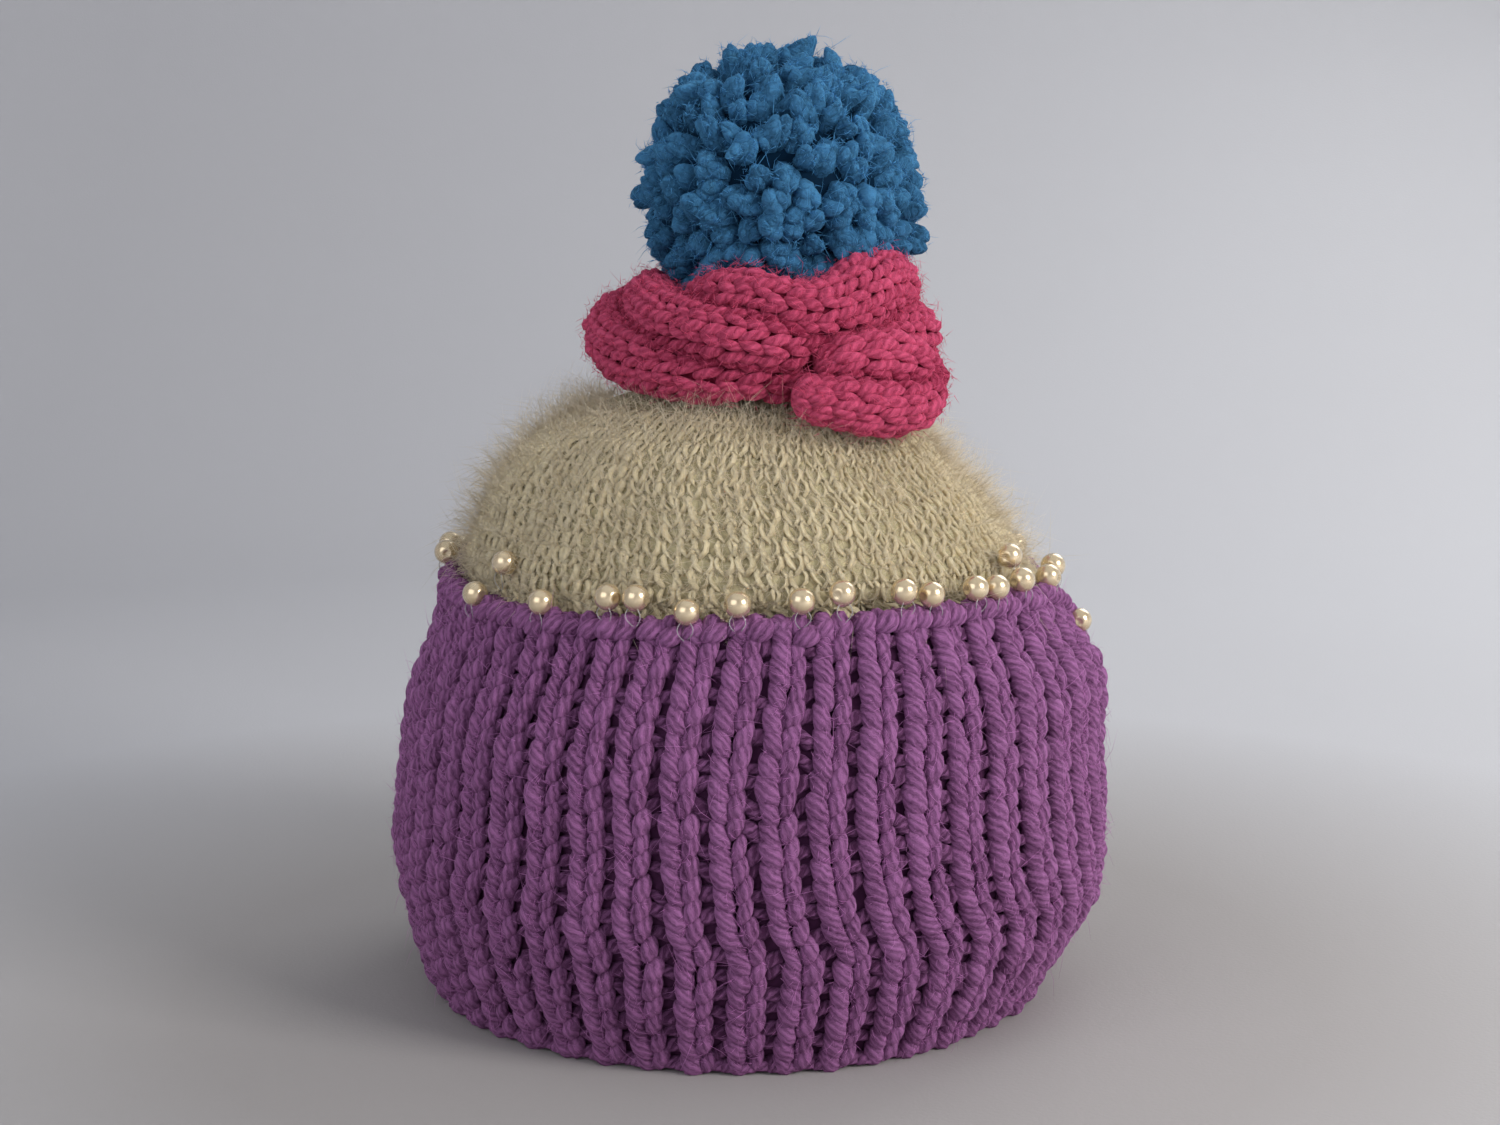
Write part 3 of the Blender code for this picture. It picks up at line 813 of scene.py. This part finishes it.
def make_mohair_top(sizes, draw):
    """The mohair top: its ground, thin open stitches that close in on the crown, and a halo of hairs."""
    sheet = shaped_grid("mohair_top_cloth", 128, 30,
                        lambda across, up: top_point(across * 360.0, 76.0 * up, -0.4)[0],
                        True, TOP_CLOTH - 0.6, "mohair ground with painted shade in its holes")
    wales, row_height = sizes.mohair_wales, sizes.mohair_row / MM
    rows = int(62.0 / row_height)
    share = np.linspace(0, 1, 4)
    wale, row = pairs(wales, rows)
    wave = 0.16 * np.sin(row * 0.9 + wale * 0.35) + 0.2 * np.sin(row * 0.33 + wale * 1.7)
    parts = []
    for way in (-1.0, 1.0):
        jitter = draw.normal(0, 0.07, wale.shape)
        slip = draw.normal(0, 0.10, wale.shape)
        reach = 0.03 + 0.44 * np.sin(np.pi * 0.84 * share) ** 0.8
        angle = 360.0 * (wale + jitter + way * reach + wave) / wales
        arc = 4.5 + row_height * (row + slip - 0.12 + 1.24 * share)
        lift = -0.25 + 0.5 * np.sin(np.pi * share) + draw.normal(0, 0.15, wale.shape)
        paths, outward = top_point(angle, arc, lift)
        crowd = np.clip(np.hypot(paths[..., 0], paths[..., 1]) / 62.0, 0.45, 1.0)
        size = 0.78 * draw.uniform(0.7, 1.35, wale.shape) * crowd * (0.7 + 0.3 * np.sin(np.pi * share))
        # Painted light makes the stitches lighter towards the crown; the rest is random tone.
        bright = 0.45 + 0.006 * np.clip(arc, 0, 60) + draw.normal(0, 0.09, wale.shape)
        parts.append(sweep(paths, size, outward, 3, 3, 5.0, 0.0, bright))
    yarn = yarn_object("mohair_top_yarn", parts, "cream mohair")

    def hair_roots(count, low, high, power):
        arc = low + (high - low) * draw.uniform(0, 1, count) ** power
        return top_point(draw.uniform(0, 360, count), arc, draw.uniform(0.0, 1.2, count))

    fuzz = fibres(*hair_roots(sizes.mohair_fuzz, 2.0, 70.0, 1.15), draw, 2.5, 7.0, 0.055, 1.0, bends=0)
    loose = fibres(*hair_roots(sizes.mohair_hairs, 5.0, 66.0, 1.1), draw, 5.0, 14.0, 0.05, 1.2)
    halo = fibres(*hair_roots(sizes.mohair_hairs, 10.0, 66.0, 1.0), draw, 7.0, 16.0, 0.042, 4.0)
    mist = fibres(*hair_roots(sizes.mohair_fuzz, 8.0, 66.0, 1.0), draw, 4.0, 10.0, 0.065, 5.0, bends=0)
    hairs = yarn_object("mohair_top_hairs", [fuzz, loose, halo, mist], "mohair hairs")
    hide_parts("mohair_top")
    place_pieces("cream_mohair", sheet, yarn, hairs)


def strand_frame(strand, position):
    """Middle, half thickness, outward and sideways directions at positions along a strand, 0 to 1."""
    numbered = [(float(index), *row) for index, row in enumerate(strand)]
    place = np.clip(position, 0, 1) * (len(strand) - 1)

    def middle_at(where):
        where = np.clip(where, 0, len(strand) - 1)
        return polar(curve_at(numbered, where, 1), curve_at(numbered, where, 2),
                     curve_at(numbered, where, 3), TWIST_CENTRE)

    middle = middle_at(place)
    forward = unit(middle_at(place + 0.05) - middle_at(place - 0.05))
    radial = middle - np.array([*TWIST_CENTRE, 0.0])
    radial[..., 2] = 0.0
    outward = unit(unit(radial) - np.sum(unit(radial) * forward, axis=-1, keepdims=True) * forward)
    half = curve_at(numbered, place, 4)
    from_end = np.minimum(place, len(strand) - 1 - place) / (len(strand) - 1)
    return middle, half, forward, outward, from_end


def dome_height(points):
    """Height of the mohair top under points."""
    table = np.array(TOP)
    radius = np.hypot(points[..., 0] + 1.5, points[..., 1])
    return np.interp(radius, table[::-1, 1], table[::-1, 0], left=CROWN)


def round_end(from_end, half, least):
    """Share of the full thickness at distances from a strand's end, which is round."""
    return np.sqrt(np.clip(1 - (1 - np.clip(from_end / half, 0, 1)) ** 2, least, 1))


def make_twist(sizes, draw):
    """The knitted twist: a full tube under the stitches, and V stitches in columns along each strand."""
    yarn_radius, row_height = sizes.pink_yarn / MM / 2, sizes.pink_row / MM
    core_share, sunk, pressed_flat = 0.78, 0.5, 2.0
    cores, stitches, roots, ways = [], [], [], []
    fine = [strand_frame(strand, np.linspace(0, 1, 90)) for strand in STRANDS]
    for index, strand in enumerate(STRANDS):
        length = np.sum(np.linalg.norm(np.diff(fine[index][0], axis=0), axis=1))
        steps = max(int(length / 3.0), 8)
        core_middle, core_half, _, core_out, from_end = strand_frame(strand, np.linspace(0, 1, steps))
        rounding = round_end(from_end * length, core_half, 0.05)
        inside = core_half * core_share * rounding
        # The core is a dark tube of painted shade that shows in the creases between stitches.
        cores.append(sweep(core_middle[None], inside[None], core_out[None], 14, shade=0.3))
        rows = int(length / row_height)
        columns = sizes.pink_columns
        row, column = pairs(rows, columns)
        share = np.linspace(0, 1, 5)
        swell = np.sin(np.pi * share)
        for way in (-1.0, 1.0):
            place = (row + 0.5 + 1.22 * (share - 0.5) + draw.normal(0, 0.07, row.shape)) / rows
            at, size, axis_way, out, from_end = strand_frame(strand, np.clip(place, 0.002, 0.998))
            side = np.cross(axis_way, out)
            turn = 2 * np.pi * (column + 0.5 * (index % 2) + way * (0.07 + 0.34 * share)
                                + draw.normal(0, 0.04, row.shape) + 0.03 * row) / columns
            direction = np.cos(turn)[..., None] * out + np.sin(turn)[..., None] * side
            rounding = round_end(from_end * length, size, 0.02)
            lift = -yarn_radius * 1.3 + 1.0 * swell + draw.normal(0, 0.2, row.shape)
            paths = at + direction * ((size + lift) * rounding)[..., None]
            centre = paths[:, 2]
            hidden = centre[:, 2] < dome_height(centre) - sunk
            hidden |= (direction[:, 2, 2] < -0.55) & (centre[:, 2] < dome_height(centre) + 4.0)
            from_middle = unit(centre - np.array([*TWIST_CENTRE, 0.0])) * [1, 1, 0]
            inward = np.sum(direction[:, 2] * from_middle, axis=-1)
            hidden |= (inward < -0.55) & (centre[:, 2] < 170.0)
            nearest = np.full(len(centre), 99.0)
            for other, (other_middle, other_half, *_rest) in enumerate(fine):
                if other != index:
                    gap = np.linalg.norm(centre[:, None] - other_middle[None], axis=-1) - other_half[None]
                    nearest = np.minimum(nearest, gap.min(axis=1))
            keep = ~(hidden | (nearest < -pressed_flat))
            radii = yarn_radius * draw.normal(1, 0.09, row.shape) * (0.70 + 0.30 * swell)
            radii = radii * (0.75 + 0.25 * rounding)
            # Painted shade darkens stitches near other strands and at their ends; the rest is random tone.
            painted_shade_near_strands = 0.42 * np.exp(-np.maximum(nearest, 0.0) / 1.5)[:, None]
            shade = 0.62 + draw.normal(0, 0.05, row.shape) - 0.12 * (1 - swell) - painted_shade_near_strands
            stitches.append(sweep(paths[keep], radii[keep], direction[keep], 7, 3, 7.0, 0.06, shade[keep]))
            roots.append(centre[keep])
            ways.append(direction[keep, 2])
    twist = yarn_object("knitted_twist_core", cores, "pink wool in painted shade")
    yarn = yarn_object("knitted_twist_yarn", stitches, "pink plied wool")
    roots, ways = np.concatenate(roots), np.concatenate(ways)

    def hair_roots(count):
        pick = draw.integers(0, len(roots), count)
        return roots[pick] + 1.1 * ways[pick] + draw.normal(0, 0.8, (count, 3)), ways[pick]

    fuzz = fibres(*hair_roots(sizes.pink_fuzz), draw, 1.2, 3.6, 0.085, 0.9, bends=0)
    loose = fibres(*hair_roots(sizes.pink_hairs), draw, 3.0, 7.0, 0.06, 0.9)
    hairs = yarn_object("knitted_twist_hairs", [fuzz, loose], "pink wool hairs")
    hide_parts("knitted_twist")
    place_pieces("pink_wool", twist, yarn, hairs)


def make_pompom(sizes, draw):
    """The pompom: soft locks of roving round a dark sphere of painted shade, bent over and longer at the top.
    """
    centre = np.array([7.6, 2.0, 194.6])
    plain_reach, shade_core_radius, start = 34.4, 28.0, 15.0
    count = sizes.tufts
    order = np.arange(count) + 0.5
    tall = 1.0 - order / count * 1.72
    turn = order * math.pi * (3 - math.sqrt(5))
    flat = np.sqrt(np.clip(1 - tall ** 2, 0, 1))
    way = np.stack([flat * np.cos(turn), flat * np.sin(turn), tall], axis=-1)
    way = unit(way + draw.normal(0, 0.04, way.shape))
    high = np.clip(way[:, 2:3] * 1.6 + 0.35, 0.0, 1.0)
    reach = plain_reach * (1 + 0.09 * np.abs(way[:, 2])) + draw.normal(0, 1.2, count)
    reach = reach - 0.6 + 2.0 * np.clip(way[:, 2] - way[:, 0] - 0.8, 0, 0.5)
    share = np.array([0.0, 0.38, 0.64, 0.80, 0.91, 0.97, 1.0])
    steps = len(share)
    bend = unit(np.cross(way, draw.normal(size=way.shape)))
    curl = unit(np.cross(way, draw.normal(size=way.shape)))
    sag = draw.uniform(0.5, 3.5, (count, 1)) + high * draw.uniform(1.0, 6.5, (count, 1))
    out = start + (reach[:, None] - start) * (share - 0.08 * high * share ** 4)
    paths = (centre + way[:, None] * out[..., None] + (bend * sag)[:, None] * (share ** 2.2)[None, :, None]
             + (0.7 * curl)[:, None] * np.sin(2.4 * np.pi * share)[None, :, None])
    width = draw.uniform(2.8, 3.9, (count, 1)) * (1 - 0.05 * high)
    profile = np.array([0.46, 0.74, 1.0, 0.98, 0.80, 0.54, 0.26])
    # Painted shade darkens each lock towards its root and painted light brightens the upper locks; the rest
    # is random tone.
    shade = (np.interp(share, (0, 0.5, 0.8, 1.0), (-0.2, 0.12, 0.42, 0.58))
             + draw.normal(0, 0.10, (count, 1)) + 0.10 * high)
    side = unit(np.cross(way, bend))
    locks = []
    for part in range(3):
        phase = (2 * np.pi * (part / 3) + draw.uniform(-0.4, 0.4, (count, 1))
                 + draw.uniform(1.2, 2.6, (count, 1)) * share)
        spread = np.cos(phase)[..., None] * bend[:, None] + np.sin(phase)[..., None] * side[:, None]
        away = 0.32 * width * profile ** 0.5 + draw.uniform(0.0, 0.8, (count, 1)) * share ** 6
        shorter = -way[:, None] * (draw.uniform(0.0, 1.6, (count, 1)) * share ** 3)[..., None]
        girth = width * profile * draw.uniform(0.70, 0.86, (count, 1)) * (1 - 0.25 * high * share ** 3)
        locks.append(sweep(paths + spread * away[..., None] + shorter, girth, spread, 7, 1, 12.0, 0.0,
                           shade + draw.normal(0, 0.09, (count, 1)),
                           lumps=(0.05, draw.uniform(0, 6.28, (count, 2)))))
    # A dark sphere of painted shade fills the middle between the locks.
    select_only()
    bpy.ops.mesh.primitive_ico_sphere_add(subdivisions=4, radius=shade_core_radius * MM, location=centre * MM)
    shade_core = bpy.context.object
    shade_core.name = shade_core.data.name = "pompom_shade_core"
    bpy.ops.object.transform_apply(location=True, rotation=True, scale=True)
    bpy.ops.object.shade_smooth()
    shade_core.data.materials.append(bpy.data.materials["painted shade between the tufts"])
    pompom = yarn_object("pompom_tufts", locks, "blue wool roving")

    def hair_roots(number, low):
        pick = draw.integers(0, count, number)
        place = draw.uniform(low, 1.0, number)
        spread = unit(np.cross(way[pick], draw.normal(size=(number, 3))))
        below = np.clip(np.searchsorted(share, place) - 1, 0, steps - 2)
        part = ((place - share[below]) / (share[below + 1] - share[below]))[:, None]
        middle = paths[pick, below] * (1 - part) + paths[pick, below + 1] * part
        girth = width[pick] * np.interp(place, share, profile)[:, None] * 0.93
        return middle + spread * girth, unit(spread + way[pick] * (place[:, None] > 0.9)), way[pick]

    root, outward, along = hair_roots(sizes.blue_fuzz, 0.7)
    fuzz = fibres(root, unit(outward + 1.2 * along), draw, 0.8, 2.4, 0.12, 1.6, bends=0)
    root, outward, along = hair_roots(sizes.blue_hairs, 0.6)
    loose = fibres(root, unit(outward + along), draw, 2.0, 5.5, 0.075, 1.4)
    hairs = yarn_object("pompom_hairs", [fuzz, loose], "blue roving hairs")
    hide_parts("pompom")
    place_pieces("blue_roving", pompom, shade_core, hairs)


def make_beads(sizes, draw):
    """The beads that are sewn along the rim, each with its drill hole and a loop of clear thread."""
    radius = sizes.bead / MM / 2
    angles = np.linspace(112, 262, BACK_BEADS) + draw.uniform(-3, 3, BACK_BEADS)
    rim = curve_at(RIM, angles, 1)
    back = np.stack([angles, np.full(BACK_BEADS, 75.4), rim + draw.uniform(2.6, 4.6, BACK_BEADS)], axis=-1)
    spots = np.concatenate([np.array(BEADS), back])
    select_only()
    bpy.ops.mesh.primitive_uv_sphere_add(segments=20, ring_count=12, radius=radius * MM)
    model = bpy.context.object
    shape = get_points(model.data) / MM
    spread = np.hypot(shape[:, 0], shape[:, 1])
    hole = 0.55
    shape[:, 2] -= np.sign(shape[:, 2]) * 1.3 * np.exp(-(spread / hole) ** 4)
    set_points(model.data, shape * MM)
    middle = polar(spots[:, 0], spots[:, 1], spots[:, 2])
    copies = []
    for index, place in enumerate(middle):
        select_only(model)
        bpy.ops.object.duplicate()
        copy = bpy.context.object
        copy.location = place * MM
        swing = draw.uniform(0.9, 1.3) if index % 6 == 3 else draw.uniform(-0.35, 0.35)
        copy.rotation_euler = (draw.uniform(-0.4, 0.4), math.pi / 2, math.radians(spots[index, 0]) + swing)
        copies.append(copy)
    bpy.data.objects.remove(model)
    select_only(*copies)
    bpy.ops.object.join()
    beads = bpy.context.object
    beads.name = beads.data.name = "rim_beads"
    bpy.ops.object.transform_apply(location=True, rotation=True, scale=True)
    bpy.ops.object.shade_smooth()
    beads.data.materials.append(bpy.data.materials["imitation pearl"])
    share = np.linspace(0, 1, 9)
    loops = []
    for way in (-1.0, 1.0):
        angle = spots[:, :1] + way * (0.2 + 1.1 * np.sin(np.pi * share))
        height = spots[:, 2:] - 1.2 - (radius + 1.4 + draw.uniform(0, 1.0, (len(spots), 1))) * share
        out = spots[:, 1:2] + 1.3 + 0.8 * np.sin(np.pi * share) - 0.6 * share
        loops.append(polar(angle, out, height))
    paths = np.concatenate(loops)
    thread = yarn_object("rim_bead_thread",
                         [sweep(paths, np.full(paths.shape[:2], 0.11), polar(
                             np.concatenate([spots[:, :1]] * 2) + 0 * share, 1.0, 0.0 * share), 4)],
                         "clear nylon thread")
    place_pieces("bead_pearl", beads, thread)


def make_stage(sizes, colours):
    """Seamless pale ground, soft studio lights and the camera at the photograph's angle."""
    flat, curve = 0.72, 0.55
    profile = [(0.0, 0.0), (0.35, 0.0), (flat, 0.0)]
    profile += [(flat + curve * math.sin(turn), curve - curve * math.cos(turn))
                for turn in np.radians(np.arange(8, 91, 8.2))]
    profile += [(flat + curve, 1.0), (flat + curve, 1.7)]
    mesh = bpy.data.meshes.new("seamless_ground")
    mesh.from_pydata([(far, 0.0, up) for far, up in profile],
                     [(index, index + 1) for index in range(len(profile) - 1)], [])
    ground = bpy.data.objects.new("seamless_ground", mesh)
    bpy.context.scene.collection.objects.link(ground)
    select_only(ground)
    bpy.ops.object.modifier_add(type="SCREW")
    turned = ground.modifiers[0]
    turned.steps = turned.render_steps = 96
    turned.use_merge_vertices = True
    turned.merge_threshold = 0.0001
    bpy.ops.object.modifier_apply(modifier=turned.name)
    edit_all(bpy.ops.mesh.normals_make_consistent, inside=True)
    bpy.ops.object.shade_smooth()
    backing_material("pale backing cloth", colours.wall, colours.floor, colours.shaded)
    ground.data.materials.append(bpy.data.materials["pale backing cloth"])

    lamps = (
        # name, place, size, power, colour
        ("key_light", (0.80, -0.60, 0.56), 0.42, sizes.key_power, (1.0, 0.98, 0.95)),
        ("fill_light", (-0.62, -0.85, 0.50), 0.90, sizes.fill_power, (0.94, 0.97, 1.0)),
        ("back_light", (0.55, 0.72, 0.80), 0.70, sizes.fill_power * 0.9, (0.98, 0.99, 1.0)),
    )
    for name, place, size, power, colour in lamps:
        bpy.ops.object.light_add(type="AREA", location=place)
        lamp = bpy.context.object
        lamp.name = name
        lamp.data.size = size
        lamp.data.energy = power
        lamp.data.color = colour
        aim = np.array([0.0, 0.0, 0.1]) - np.array(place)
        lamp.rotation_euler = (math.atan2(math.hypot(aim[0], aim[1]), -aim[2]), 0.0,
                               math.atan2(aim[1], aim[0]) - math.pi / 2)
    world = bpy.data.worlds.new("soft_room")
    world.use_nodes = True
    sky = world.node_tree.nodes["Background"]
    sky.inputs["Color"].default_value = (0.94, 0.97, 1.0, 1.0)
    sky.inputs["Strength"].default_value = sizes.room_light
    bpy.context.scene.world = world
    bpy.ops.object.camera_add(location=CAMERA_PLACE, rotation=(math.pi / 2 - CAMERA_DOWN, 0.0, 0.0))
    camera = bpy.context.object
    camera.name = "photo_camera"
    camera.data.lens = CAMERA_LENS
    bpy.context.scene.camera = camera
    bpy.context.scene.view_settings.view_transform = "Standard"


# Add-on


def count_property(label, text, number):
    """A whole-number property."""
    return bpy.props.IntProperty(name=label, description=text, default=number)


def length_property(label, text, millimetres):
    """A length property, whose default is given in millimetres."""
    return bpy.props.FloatProperty(name=label, description=text, default=millimetres * MM, unit="LENGTH",
                                   precision=5)


def power_property(label, text, watts):
    """A lamp's power."""
    return bpy.props.FloatProperty(name=label, description=text, default=watts, unit="POWER")


def colour_property(label, text, code):
    """A colour property, whose default is given as a hex code."""
    return bpy.props.FloatVectorProperty(name=label, description=text, default=linear(code), size=3,
                                         min=0.0, max=1.0, subtype="COLOR")


class CosySizes(bpy.types.PropertyGroup):
    """Sizes and counts of the yarn and the beads, and the strength of the lights."""

    rib_rows: count_property("Rib rows", "Rows of stitches up a panel", 22)
    rope_yarn: length_property("Thick leg", "Thickness of a rib's left leg", 4.6)
    thin_yarn: length_property("Thin leg", "Thickness of a rib's right leg", 4.0)
    purple_fuzz: count_property("Purple fuzz", "Short hairs on each panel", 9000)
    purple_hairs: count_property("Purple hairs", "Long hairs on each panel", 1000)
    mohair_wales: count_property("Mohair wales", "Stitches round the mohair top", 100)
    mohair_row: length_property("Mohair row", "Height of a row of mohair stitches", 3.8)
    mohair_fuzz: count_property("Mohair fuzz", "Short hairs on the mohair top", 8000)
    mohair_hairs: count_property("Mohair hairs", "Long hairs on the mohair top", 3400)
    pink_yarn: length_property("Pink yarn", "Thickness of the twist's yarn", 2.8)
    pink_row: length_property("Pink row", "Length of a stitch along the twist", 4.3)
    pink_columns: count_property("Pink columns", "Stitch columns round a strand", 8)
    pink_fuzz: count_property("Pink fuzz", "Short hairs on the twist", 8000)
    pink_hairs: count_property("Pink hairs", "Long hairs on the twist", 500)
    tufts: count_property("Tufts", "Tufts of the pompom", 360)
    blue_fuzz: count_property("Blue fuzz", "Short hairs on the pompom", 11000)
    blue_hairs: count_property("Blue hairs", "Long hairs on the pompom", 2200)
    bead: length_property("Bead", "Diameter of a bead", 6.0)
    key_power: power_property("Key light", "Power of the key light", 8.0)
    fill_power: power_property("Fill light", "Power of the fill light", 4.0)
    room_light: bpy.props.FloatProperty(name="Room light", description="Strength of the room's own light",
                                        default=0.55, subtype="FACTOR")


class CosyColours(bpy.types.PropertyGroup):
    """Colours of the yarns, the beads and the ground."""

    # The dark colours carry painted shade: purple_dark and pink_dark in the creases of the wool, mohair_dark
    # and blue_dark in the gaps.
    purple_dark: colour_property("Purple, dark", "Creases of the purple wool", "#452441")
    purple_light: colour_property("Purple, light", "Ridges of the purple wool", "#A36C9E")
    mohair_dark: colour_property("Mohair, dark", "Gaps of the mohair", "#8E866B")
    mohair_light: colour_property("Mohair, light", "Strands of the mohair", "#ECDDB9")
    mohair_hair: colour_property("Mohair hair", "Loose hairs of the mohair", "#F8EBD2")
    pink_dark: colour_property("Pink, dark", "Creases of the pink wool", "#7A1F38")
    pink_light: colour_property("Pink, light", "Ridges of the pink wool", "#D4597C")
    blue_dark: colour_property("Blue, dark", "Gaps of the blue roving", "#0E2A42")
    blue_light: colour_property("Blue, light", "Ends of the blue roving", "#4C88B5")
    pearl: colour_property("Pearl", "The beads", "#ECDAB8")
    wall: colour_property("Wall", "The backing cloth where it rises", "#D9D9DC")
    # The floor colour is painted shade on the backing cloth under the cosy.
    floor: colour_property("Floor", "The backing cloth under the cosy", "#B5B1AF")
    shaded: colour_property("Shaded side", "Tint of the backing cloth away from the light", "#DCDCDE")


def make_materials(colours):
    """Every yarn and bead material."""
    tone = {name: np.array(getattr(colours, name)) for name in CosyColours.__annotations__}
    wool_material("purple plied wool", tone["purple_dark"], tone["purple_light"], 0.20, 0.35, 0.6)
    wool_material("pink plied wool", tone["pink_dark"], tone["pink_light"], 0.18, 0.35, 0.6)
    wool_material("cream mohair", tone["mohair_dark"], tone["mohair_light"], 0.05, 0.2, 0.6, 0.30, 0.1, 0.3)
    wool_material("pink wool in painted shade", 0.6 * tone["pink_dark"], tone["pink_dark"], 0.1, 0.2, 0.1)
    # Both grounds are darkened with painted shade, for the furrows and holes behind the yarn.
    cloth_material("purple knit ground in painted shade", 0.9 * tone["purple_dark"], 1.8 * tone["purple_dark"], RIBS * 2, 22)
    cloth_material("mohair ground with painted shade in its holes", 1.55 * tone["mohair_dark"], 2.7 * tone["mohair_dark"], 100, 20)
    roving_material("blue wool roving", tone["blue_dark"], tone["blue_light"])
    hair_material("painted shade between the tufts", 0.9 * tone["blue_dark"])
    for name, colour in (("purple wool hairs", 2.0 * tone["purple_light"]),
                         ("mohair hairs", tone["mohair_hair"]),
                         ("pink wool hairs", 1.3 * tone["pink_light"]),
                         ("blue roving hairs", 1.6 * tone["blue_light"])):
        hair_material(name, np.minimum(colour, 1.0), 0.3)
    pearl_material("imitation pearl", tone["pearl"])
    thread_material("clear nylon thread")


class PieceOperator:
    """What the pieces' operators share: the materials are made once, then the piece by its own function."""

    bl_options = {"REGISTER", "UNDO"}

    def execute(self, context):
        if "purple plied wool" not in bpy.data.materials:
            make_materials(context.scene.cosy_colours)
        self.make(context.scene.cosy_sizes, np.random.default_rng(self.seed))
        return {"FINISHED"}


class COSY_OT_panels(PieceOperator, bpy.types.Operator):
    """Build the two ribbed panels"""

    bl_idname = "cosy.panels"
    bl_label = "Ribbed panels"
    seed = 11
    make = staticmethod(make_panels)


class COSY_OT_mohair(PieceOperator, bpy.types.Operator):
    """Build the mohair top"""

    bl_idname = "cosy.mohair"
    bl_label = "Mohair top"
    seed = 12
    make = staticmethod(make_mohair_top)


class COSY_OT_twist(PieceOperator, bpy.types.Operator):
    """Build the knitted twist"""

    bl_idname = "cosy.twist"
    bl_label = "Knitted twist"
    seed = 13
    make = staticmethod(make_twist)


class COSY_OT_pompom(PieceOperator, bpy.types.Operator):
    """Build the pompom"""

    bl_idname = "cosy.pompom"
    bl_label = "Pompom"
    seed = 14
    make = staticmethod(make_pompom)


class COSY_OT_beads(PieceOperator, bpy.types.Operator):
    """Build the beads along the rim and their thread"""

    bl_idname = "cosy.beads"
    bl_label = "Beads"
    seed = 15
    make = staticmethod(make_beads)


class COSY_OT_stage(bpy.types.Operator):
    """Build the ground, the lights and the camera"""

    bl_idname = "cosy.stage"
    bl_label = "Studio"
    bl_options = {"REGISTER", "UNDO"}

    def execute(self, context):
        make_stage(context.scene.cosy_sizes, context.scene.cosy_colours)
        return {"FINISHED"}


OPERATORS = (COSY_OT_panels, COSY_OT_mohair, COSY_OT_twist, COSY_OT_pompom, COSY_OT_beads, COSY_OT_stage)


class COSY_PT_sidebar(bpy.types.Panel):
    """Settings and buttons of the cosy"""

    bl_idname = "COSY_PT_sidebar"
    bl_label = "Knitted tea cosy"
    bl_space_type = "VIEW_3D"
    bl_region_type = "UI"
    bl_category = "Cosy"

    def draw(self, context):
        for operator in OPERATORS:
            self.layout.operator(operator.bl_idname)
        for group in (context.scene.cosy_sizes, context.scene.cosy_colours):
            box = self.layout.box()
            for name in type(group).__annotations__:
                box.prop(group, name)


CLASSES = (CosySizes, CosyColours, *OPERATORS, COSY_PT_sidebar)


def register():
    for each in CLASSES:
        bpy.utils.register_class(each)
    bpy.types.Scene.cosy_sizes = bpy.props.PointerProperty(type=CosySizes)
    bpy.types.Scene.cosy_colours = bpy.props.PointerProperty(type=CosyColours)


def unregister():
    del bpy.types.Scene.cosy_colours
    del bpy.types.Scene.cosy_sizes
    for each in reversed(CLASSES):
        bpy.utils.unregister_class(each)


def main():
    """Build everything."""
    register()
    for operator in OPERATORS:
        name = operator.bl_idname.split(".")[1]
        getattr(bpy.ops.cosy, name)()


if __name__ == "__main__":
    main()
